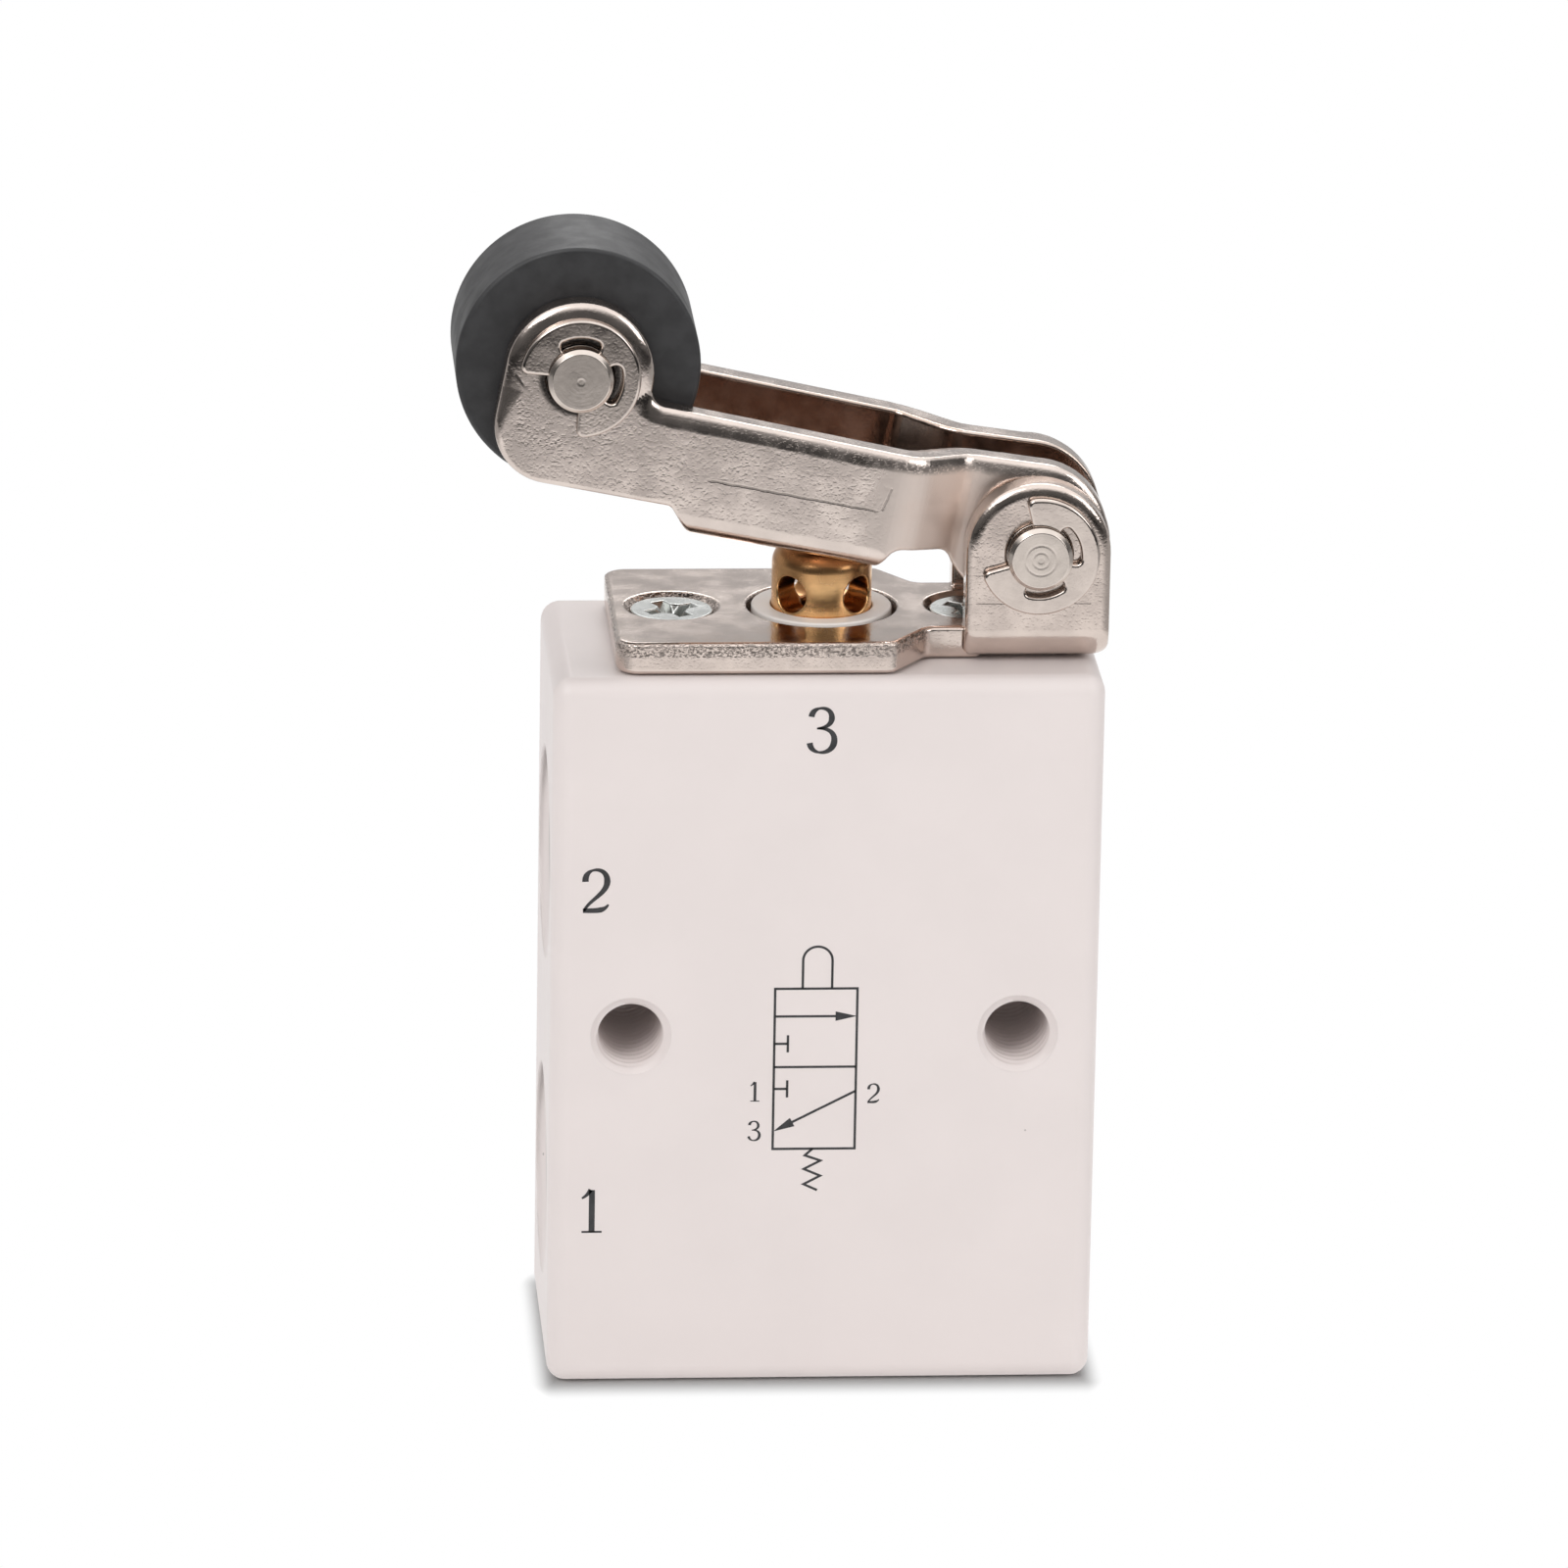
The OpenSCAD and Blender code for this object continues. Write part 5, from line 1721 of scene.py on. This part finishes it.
@dataclass
class PinSet:
    """A headed pin along Y with the E-ring that holds it, through sheets half_span from the middle."""

    name: str
    joint: str
    body: Body
    half_span: float
    mouth: float
    pin_r: float = 2.0
    head_r: float = 3.1
    head_h: float = 1.0
    tail: float = 1.25
    groove_r: float = 1.5
    ring_r: float = 3.7
    ring_t: float = 0.6
    ring_edge: float = 0.2
    gap: float = 0.02
    mouth_half: float = 46.0
    window: Pair = (98.0, 162.0)
    window_r: float = 2.55
    mark_radii: Row = ()
    mark_deep: float = 0.004
    mark_half: float = 0.12
    mark_edges: Pair = (0.03, 0.06)
    dimple: Pair = (0.28, 0.16)
    edge: float = 0.25
    rim: float = 0.1
    corner: float = 0.05
    groove_edge: float = 0.04
    mouth_edge: float = 0.5
    window_edges: Pair = (0.4, 0.1)
    step: float = 0.055

    def pin(self) -> Surface:
        """The pin: a head behind, a groove in front, and a chamfered tail with a soft rim.

        Returns:
            The surface, about local z.
        """
        groove = self.half_span + self.gap
        end = groove + self.ring_t + 2 * self.gap
        tip, back = self.half_span + self.tail, -self.half_span - self.head_h
        return turned([
            (0, back, 0), (self.head_r, back, self.edge), (self.head_r, -self.half_span, self.rim),
            (self.pin_r, -self.half_span, self.corner), (self.pin_r, groove, self.groove_edge),
            (self.groove_r, groove, self.groove_edge), (self.groove_r, end, self.groove_edge),
            (self.pin_r, end, self.corner), (self.pin_r, tip - self.edge, self.rim),
            (self.pin_r - self.edge, tip, self.rim), *self.turning_marks(tip), (0, tip - self.mark_deep, 0)])

    def turning_marks(self, tip: float) -> list[Corner]:
        """Shallow rings that the parting tool left on the pin's end, and the edge of its centre dimple.

        Args:
            tip: the height of the pin's end.

        Returns:
            The profile's corners, from the rim to the dimple.
        """
        low = tip - self.mark_deep
        half, (side, bottom) = self.mark_half, self.mark_edges
        rings = []
        for radius in self.mark_radii:
            rings += [(radius + half, tip, side), (radius, low, bottom), (radius - half, tip, side)]
        return [*rings, (self.dimple[0], tip, self.corner), (self.dimple[1], low, self.corner)]

    def ring(self) -> Surface:
        """The E-ring: a flat ring with three prongs, two windows and a mouth, all edges soft.

        Returns:
            The surface, about its own centre.
        """
        turn = math.radians(self.mouth)
        c, s = math.cos(turn), math.sin(turn)
        half = math.radians(self.mouth_half)
        middle = math.radians(sum(self.window) / 2)
        spread = math.radians(self.window[1] - self.window[0]) / 2
        near = self.half_span + 2 * self.gap

        def shape(x: Array, y: Array, z: Array) -> Array:
            """Distance to the E-ring.

            Args:
                x, y, z: coordinates about its centre, which broadcast against each other.

            Returns:
                The distances.
            """
            radius = np.hypot(x, z)
            a, b = c * x + s * z, np.abs(c * z - s * x)
            flat = np.maximum(radius - self.ring_r, self.groove_r + self.gap - radius)
            flat = cut(flat, a * math.sin(half) - b * math.cos(half), self.mouth_edge)
            across = np.abs(b * math.cos(middle) - a * math.sin(middle))
            along = a * math.cos(middle) + b * math.sin(middle)
            sector = across * math.cos(spread) - along * math.sin(spread)
            slot = cut(sector, radius - self.window_r, self.window_edges[0])
            flat = cut(flat, -slot, self.window_edges[1])
            return cut(flat, slab(y, -near - self.ring_t, -near), self.ring_edge)

        wide = self.ring_r
        return solid(shape, (-wide, -near - self.ring_t, -wide), (wide, -near, wide), self.step)

    def build(self) -> None:
        """Makes the pin and its ring."""
        at = joint_place(self.joint)
        finish = replace(PIN_STEEL, name=f"{self.name}_steel", centre=tuple(at))
        shaft = Piece(f"{self.name}_shaft", finish, self.body, "pin_steel", (self.name,))
        shaft.register(self.pin().placed(Axis.FRONT, at))
        ring = self.ring()
        ring.points = ring.points + at
        clip, node = (self.name.replace("pin", word) for word in ("clip", "e_ring"))
        Piece(clip, RING_PLATE, self.body, "plated_ring", (node,)).register(ring)


@dataclass
class Roller:
    """The black moulded roller."""

    radius: float = 7.5
    bore: float = 2.05
    half: float = 4.2
    edge: float = 0.3
    bore_edge: float = 0.15
    steps: int = 144

    def build(self) -> None:
        """Makes the roller, a ring turned about its pin."""
        profile = [(self.bore, -self.half, self.bore_edge), (self.radius, -self.half, self.edge),
                   (self.radius, self.half, self.edge), (self.bore, self.half, self.bore_edge)]
        piece = Piece("moulded_roller", ROLLER_BLACK, Body.ROLLER, "roller_plastic", ("roller",))
        piece.register(turned(profile, self.steps).placed(Axis.FRONT, joint_place("roller_spin")))


@dataclass
class PlungerGroup:
    """The hollow brass plunger, its guide bush, their O-rings, and the spring under the plunger's collar.

    An O-ring is given by its radius, the radius of its section, and its height.
    """

    radius: float = 3.1
    shoulder: float = 1.3
    stem_low: float = 0.3
    bore: float = 1.3
    bore_edge: float = 0.1
    vent_r: float = 1.15
    vent_rise: float = 3.4
    vent_edge: float = 0.16
    nose_r: float = 2.2
    nose_edge: float = 0.1
    collar_r: float = 4.3
    collar: Pair = (36.45, 37.95)
    collar_edge: float = 0.12
    nose: float = 21.6
    groove_z: float = 42.0
    groove_r: float = 2.35
    groove_half: float = 0.55
    groove_edge: float = 0.08
    # painted shade: brown near the plunger's top, and darker in its bore and cross holes
    top_shade: Triple = (0.7, 1.2, 0.7)
    painted_darkening: Triple = (0.1, 3.0, 0.6)
    bush_bore: float = 3.15
    bush_r: float = 4.98
    bush_collar_r: float = 5.98
    bush_collar: Pair = (43.5, 45.98)
    bush_neck: float = 4.35
    bush_groove_r: float = 3.9
    bush_groove: Pair = (40.3, 41.7)
    bush_deep: float = 8.0
    bush_rise: float = 2.2
    bush_corner: float = 0.05
    bush_edges: Row = (0.1, 0.15, 0.14, 0.12)
    bush_seal: Triple = (4.45, 0.53, 41.0)
    plunger_seal: Triple = (2.75, 0.38, 42.0)
    spring: Coil = Coil(3.4, 0.4, 8, 24.02, 36.43)
    step: float = 0.11

    def __post_init__(self) -> None:
        """Takes heights from the frame."""
        self.top = node_span("plunger")[1][2]
        self.body_top = node_span("valve_body")[1][2]
        self.vent = self.body_top + self.vent_rise

    def shape(self, x: Array, y: Array, z: Array) -> Array:
        """Distance to the plunger: three round bars joined, less the bore, the cross holes and the groove.

        Args:
            x, y, z: coordinates, which broadcast.

        Returns:
            The distances.
        """
        radius = np.hypot(x, y)
        stem = cut(radius - self.radius, z - self.top, self.shoulder)
        stem = np.maximum(stem, self.collar[0] + self.stem_low - z)
        collar = cut(radius - self.collar_r, slab(z, *self.collar), self.collar_edge)
        nose = cut(radius - self.nose_r, slab(z, self.nose, self.collar[1]), self.nose_edge)
        whole = np.minimum(np.minimum(stem, collar), nose)
        hollow = np.maximum(radius - self.bore, z - self.vent - self.vent_r)
        whole = cut(whole, -hollow, self.bore_edge)
        across = math.sqrt(0.5)
        for side in (-1, 1):
            vent = np.hypot((x + side * y) * across, z - self.vent) - self.vent_r
            whole = cut(whole, -vent, self.vent_edge)
        walls = slab(z, self.groove_z - self.groove_half, self.groove_z + self.groove_half)
        return cut(whole, -np.maximum(self.groove_r - radius, walls), self.groove_edge)

    def painted_shade(self, rod: Surface) -> Array:
        """Share of painted shade: brown near the top, and darker in the bore and the cross holes.

        Args:
            rod: the plunger's surface.

        Returns:
            The share at each point.
        """
        x, y, z = rod.points.T
        start, fade, most = self.top_shade
        shaded_top = np.clip((z - self.vent - start) / fade, 0, 1) * most
        skin, slope, limit = self.painted_darkening
        return np.maximum(shaded_top, np.clip((self.radius - skin - np.hypot(x, y)) * slope, 0, limit))

    def bush(self) -> Surface:
        """The guide bush: a stepped ring with a groove round it and a soft rim above the bracket.

        Returns:
            The surface.
        """
        low, top = self.body_top - self.bush_deep, self.body_top + self.bush_rise
        (groove_low, groove_high), (collar_low, collar_high) = self.bush_groove, self.bush_collar
        bevel, foot, rim, mouth = self.bush_edges
        corner = self.bush_corner
        return turned([
            (self.bush_bore, low, bevel), (self.bush_r, low, foot), (self.bush_r, groove_low, corner),
            (self.bush_groove_r, groove_low, corner), (self.bush_groove_r, groove_high, corner),
            (self.bush_r, groove_high, corner), (self.bush_r, collar_low, corner),
            (self.bush_collar_r, collar_low, bevel), (self.bush_collar_r, collar_high, bevel),
            (self.bush_neck, collar_high, corner), (self.bush_neck, top, rim), (self.bush_bore, top, mouth)])

    def build(self) -> None:
        """Makes the plunger, bush, O-rings and spring."""
        wide = self.collar_r
        rod = solid(self.shape, (-wide, -wide, self.nose), (wide, wide, self.top), self.step)
        # painted shade on the plunger
        rod.marks["painted_shade"] = self.painted_shade(rod)
        Piece("brass_plunger", BRASS, Body.PLUNGER, "brass", ("plunger",)).register(rod)
        Piece("white_bush", BUSH_WHITE, Body.VALVE, "white_bush", ("guide_bush",)).register(self.bush())
        seal = Piece("bush_seal", RUBBER, Body.VALVE, "black_rubber", ("bush_o_ring",))
        seal.register(o_ring(*self.bush_seal))
        seal = Piece("plunger_seal", RUBBER, Body.PLUNGER, "black_rubber", ("plunger_o_ring",))
        seal.register(o_ring(*self.plunger_seal))
        spring = Piece("return_spring", WIRE, Body.VALVE, "spring_steel", ("plunger_spring",))
        self.spring.build(spring, "plunger_slide")


@dataclass
class PoppetGroup:
    """The poppet with its rubber face, its spring, and the plug, O-ring and circlip that close the bore.

    The poppet and the plug are profiles of (radius, height, rounding) about the plunger's axis.
    """

    poppet: tuple[Corner, ...] = (
        (0, 5.2, 0), (1.5, 5.2, 0.3), (1.5, 17.98, 0.15), (4.7, 17.98, 0.15), (4.7, 20.38, 0.12),
        (4.12, 20.38, 0.1), (4.12, 19.48, 0.05), (0, 19.48, 0))
    plug: tuple[Corner, ...] = (
        (0, 1.62, 0), (6.28, 1.62, 0.3), (6.28, 4.12, 0.05), (5.2, 4.12, 0.05), (5.2, 5.52, 0.05),
        (6.28, 5.52, 0.05), (6.28, 8, 0.15), (1.55, 8, 0.2), (1.55, 3.2, 0.05), (0, 3.2, 0))
    face_r: float = 4.1
    face: Pair = (19.48, 20.98)
    face_edge: float = 0.12
    plug_seal: Triple = (5.75, 0.53, 4.82)
    spring: Coil = Coil(3.2, 0.3, 7, 8.02, 17.96)
    clip_r: float = 6.88
    clip_wide: float = 1.5
    clip_span: Pair = (0.6, 1.6)
    clip_mouth: float = 16.0
    clip_edge: float = 0.1
    lug_r: float = 1.2
    lug_fillet: float = 0.3
    lug_hole: float = 0.5
    lug_edge: float = 0.08
    clip_step: float = 0.1

    def circlip(self) -> Surface:
        """The circlip: an open flat ring with two drilled lugs at its mouth.

        Returns:
            The surface.
        """
        outer, half = self.clip_r, math.radians(self.clip_mouth)
        inner = outer - self.clip_wide
        turn = half + self.lug_r / inner

        def shape(x: Array, y: Array, z: Array) -> Array:
            """Distance to the circlip.

            Args:
                x, y, z: coordinates, which broadcast.

            Returns:
                The distances.
            """
            radius, side = np.hypot(x, y), np.abs(x)
            flat = np.maximum(radius - outer, inner - radius)
            flat = np.maximum(flat, -(side * math.cos(half) + y * math.sin(half)))
            lug = np.hypot(side - inner * math.sin(turn), y + inner * math.cos(turn))
            flat = cut(join(flat, lug - self.lug_r, self.lug_fillet), self.lug_hole - lug, self.lug_edge)
            return cut(flat, slab(z, *self.clip_span), self.clip_edge)

        low, high = self.clip_span
        return solid(shape, (-outer, -outer, low), (outer, outer, high), self.clip_step)

    def build(self) -> None:
        """Makes the spring, poppet, seal, plug, O-ring and circlip."""
        spring = Piece("poppet_coil", WIRE, Body.VALVE, "spring_steel", ("poppet_spring",))
        self.spring.build(spring, "poppet_slide")
        Piece("brass_poppet", BRASS, Body.POPPET, "brass", ("poppet",)).register(turned(self.poppet))
        face = Piece("poppet_face", RUBBER, Body.POPPET, "black_rubber", ("poppet_seal",))
        face.register(round_bar(self.face_r, *self.face, self.face_edge))
        plug = Piece("turned_plug", PLUG_ALUMINIUM, Body.VALVE, "plug_aluminium", ("bottom_plug",))
        plug.register(turned(self.plug))
        seal = Piece("plug_seal", RUBBER, Body.VALVE, "black_rubber", ("plug_o_ring",))
        seal.register(o_ring(*self.plug_seal))
        Piece("snap_ring", PHOSPHATE, Body.VALVE, "black_circlip", ("plug_circlip",)).register(self.circlip())


@dataclass(frozen=True)
class Lamp:
    """A square soft box: its name, place and side in millimetres, and power in watts."""

    name: str
    at: Triple
    size: float
    power: float

    def build(self, target: Sequence[float]) -> None:
        """Makes the lamp, facing a target.

        Args:
            target: the target, in millimetres.
        """
        light = bpy.data.lights.new(self.name, "AREA")
        light.size = self.size * MM
        light.energy = self.power
        made = bpy.data.objects.new(self.name, light)
        spot, aim = Vector(self.at) * MM, Vector(target) * MM
        turn = (aim - spot).to_track_quat("-Z", "Y").to_matrix().to_4x4()
        made.matrix_world = Matrix.Translation(spot) @ turn
        bpy.context.scene.collection.objects.link(made)


@dataclass
class Studio:
    """The camera at the photograph's angle, a pale floor, a room and lamps.

    The floor shines in reflections like a sheet of paper with a dark end in front and dimmer sides. The room
    is bright in reflections behind the valve and above it.
    """

    yaw: float = 0.0737569
    pitch: float = 0.3134909
    roll: float = -0.0170576
    distance: float = 671.4212
    target: Triple = (-2.119241, 0.0, 36.428284)
    focal: float = 11001.9423
    sensor: float = 36.0
    clip: Pair = (50.0, 50000.0)
    floor_half: float = 3000.0
    floor_z: float = -0.05
    stand: Pair = (16.4, 8.2)
    paper: Colour = (0.92, 0.92, 0.92)
    # share of the paper's tone that the camera sees round the valve's foot: a painted shadow, fading out over
    # the shadow distances
    painted_shadow_share: float = 0.44
    shadow: Pair = (1.6, 3.3)
    sheet_front: Pair = (-241.0, -206.0)
    sheet_glow: Pair = (0.05, 1.06)
    sheet_sides: Pair = (70.0, 170.0)
    side_glow: float = 0.42
    behind: Pair = (-0.15, 0.35)
    behind_glow: float = 0.55
    above: Pair = (0.3, 0.75)
    above_glow: float = 1.35
    least_glow: float = 0.1
    soft_light: float = 0.62
    lamps: tuple[Lamp, ...] = (
        Lamp("key_box", (-420, -520, 620), 420, 2.3), Lamp("fill_box", (620, -420, 380), 380, 1.2),
        Lamp("back_box", (100, 600, 560), 420, 1.6))

    def camera(self) -> None:
        """Makes the camera: a pinhole that looks at the target from the fitted angles, with no blur."""
        level = math.cos(self.pitch)
        ahead = Vector((math.sin(self.yaw) * level, math.cos(self.yaw) * level, -math.sin(self.pitch)))
        right = ahead.cross(Vector((0, 0, 1))).normalized()
        down = ahead.cross(right)
        c, s = math.cos(self.roll), math.sin(self.roll)
        axes = [c * right + s * down, s * right - c * down, -ahead]
        eye = (Vector(self.target) - ahead * self.distance) * MM
        lens = bpy.data.cameras.new("camera")
        lens.sensor_width = self.sensor
        lens.lens = self.sensor * self.focal / PHOTO_SIZE
        lens.clip_start, lens.clip_end = (distance * MM for distance in self.clip)
        made = bpy.data.objects.new("camera", lens)
        turn = Matrix([[axis[i] for axis in axes] for i in range(3)]).to_4x4()
        made.matrix_world = Matrix.Translation(eye) @ turn
        bpy.context.scene.collection.objects.link(made)
        bpy.context.scene.camera = made

    def floor(self) -> None:
        """Makes the pale floor, which is white to the camera and keeps a soft shadow, and round the valve's
        foot shows the camera a darker tone: a painted shadow.
        """
        sides = ((-1, -1), (1, -1), (1, 1), (-1, 1))
        corners = np.array([[x * self.floor_half, y * self.floor_half, self.floor_z] for x, y in sides])
        made = make_object("floor", Surface(corners, [[0, 1, 2, 3]]))
        paper = bpy.data.materials.new("white_paper")
        paper.use_nodes = True
        nodes = Nodes(paper.node_tree)
        rays = nodes.add("ShaderNodeLightPath").outputs
        # painted shadow: camera rays see the paper darker, and only round the foot
        shadow_tone = nodes.blend(rays["Is Camera Ray"], rgba(self.paper), rgba(self.paper, self.painted_shadow_share))
        matt = nodes.add("ShaderNodeBsdfDiffuse", {"Color": shadow_tone}).outputs[0]
        mirrored = nodes.math("MAXIMUM", rays["Is Glossy Ray"], rays["Is Transmission Ray"])
        parts = nodes.add("ShaderNodeSeparateXYZ", {0: nodes.place()}).outputs
        near, far = (side * MM for side in self.sheet_sides)
        aside = nodes.ramp(nodes.math("ABSOLUTE", parts[0]), near, far, 1.0, self.side_glow)
        start, end = (y * MM for y in self.sheet_front)
        sheet = nodes.math("MULTIPLY", nodes.ramp(parts[1], start, end, *self.sheet_glow), aside)
        strength = nodes.add("ShaderNodeMix", {0: mirrored, 2: 1.0, 3: sheet}, data_type="FLOAT").outputs[0]
        glow = nodes.add("ShaderNodeEmission", {"Color": (1, 1, 1, 1), "Strength": strength}).outputs[0]
        # the painted shadow fades from the valve's foot out to the white floor
        beside = [nodes.ramp(nodes.math("ABSOLUTE", part), half * MM, (half + fade) * MM)
                  for part, half, fade in zip(parts, self.stand, self.shadow)]
        across, along = [nodes.math("POWER", part, 2.0) for part in beside]
        open_floor = nodes.math("SQRT", nodes.math("ADD", across, along), clamp=True)
        share = nodes.math("MAXIMUM", nodes.math("MULTIPLY", rays["Is Camera Ray"], open_floor), mirrored)
        mixed = nodes.add("ShaderNodeMixShader", {0: share, 1: matt, 2: glow}).outputs[0]
        nodes.add("ShaderNodeOutputMaterial", {"Surface": mixed})
        made.data.materials.append(paper)

    def world(self) -> None:
        """Makes the room: white to the camera, pale behind and above in reflections, and even soft light."""
        room = bpy.data.worlds.new("room")
        bpy.context.scene.world = room
        room.use_nodes = True
        nodes = Nodes(room.node_tree)
        way = nodes.add("ShaderNodeTexCoord").outputs["Generated"]
        parts = nodes.add("ShaderNodeSeparateXYZ", {0: way}).outputs
        behind = nodes.math("MULTIPLY", nodes.ramp(parts[1], *self.behind), self.behind_glow)
        above = nodes.math("MULTIPLY", nodes.ramp(parts[2], *self.above), self.above_glow)
        pale = nodes.math("MAXIMUM", nodes.math("MAXIMUM", behind, above), self.least_glow)
        rays = nodes.add("ShaderNodeLightPath").outputs
        mirrored = nodes.math("MAXIMUM", rays["Is Glossy Ray"], rays["Is Transmission Ray"])
        strengths = {0: mirrored, 2: self.soft_light, 3: pale}
        soft = nodes.add("ShaderNodeMix", strengths, data_type="FLOAT").outputs[0]
        strength = nodes.math("MAXIMUM", soft, rays["Is Camera Ray"])
        light = nodes.add("ShaderNodeBackground", {"Color": (1, 1, 1, 1), "Strength": strength}).outputs[0]
        nodes.add("ShaderNodeOutputWorld", {"Surface": light})

    def build(self) -> None:
        """Makes the camera, floor, room and lamps."""
        bpy.context.scene.view_settings.view_transform = "Standard"
        self.camera()
        self.floor()
        self.world()
        for lamp in self.lamps:
            lamp.build(self.target)


def main() -> None:
    """Builds each group of the valve in order."""
    logging.basicConfig(level=logging.INFO, format="%(name)s %(message)s")
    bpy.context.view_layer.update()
    Studio().build()
    ValveBlock().build()
    FrontMarks().build()
    Bracket().build()
    LeverArm().build()
    PinSet("pivot_pin", "lever_pivot", Body.VALVE, 6.1, 150.0, mark_radii=(0.95, 0.5)).build()
    PinSet("roller_pin", "roller_spin", Body.LEVER, 6.4, 220.0).build()
    Roller().build()
    PlungerGroup().build()
    PoppetGroup().build()


if __name__ == "__main__":
    main()
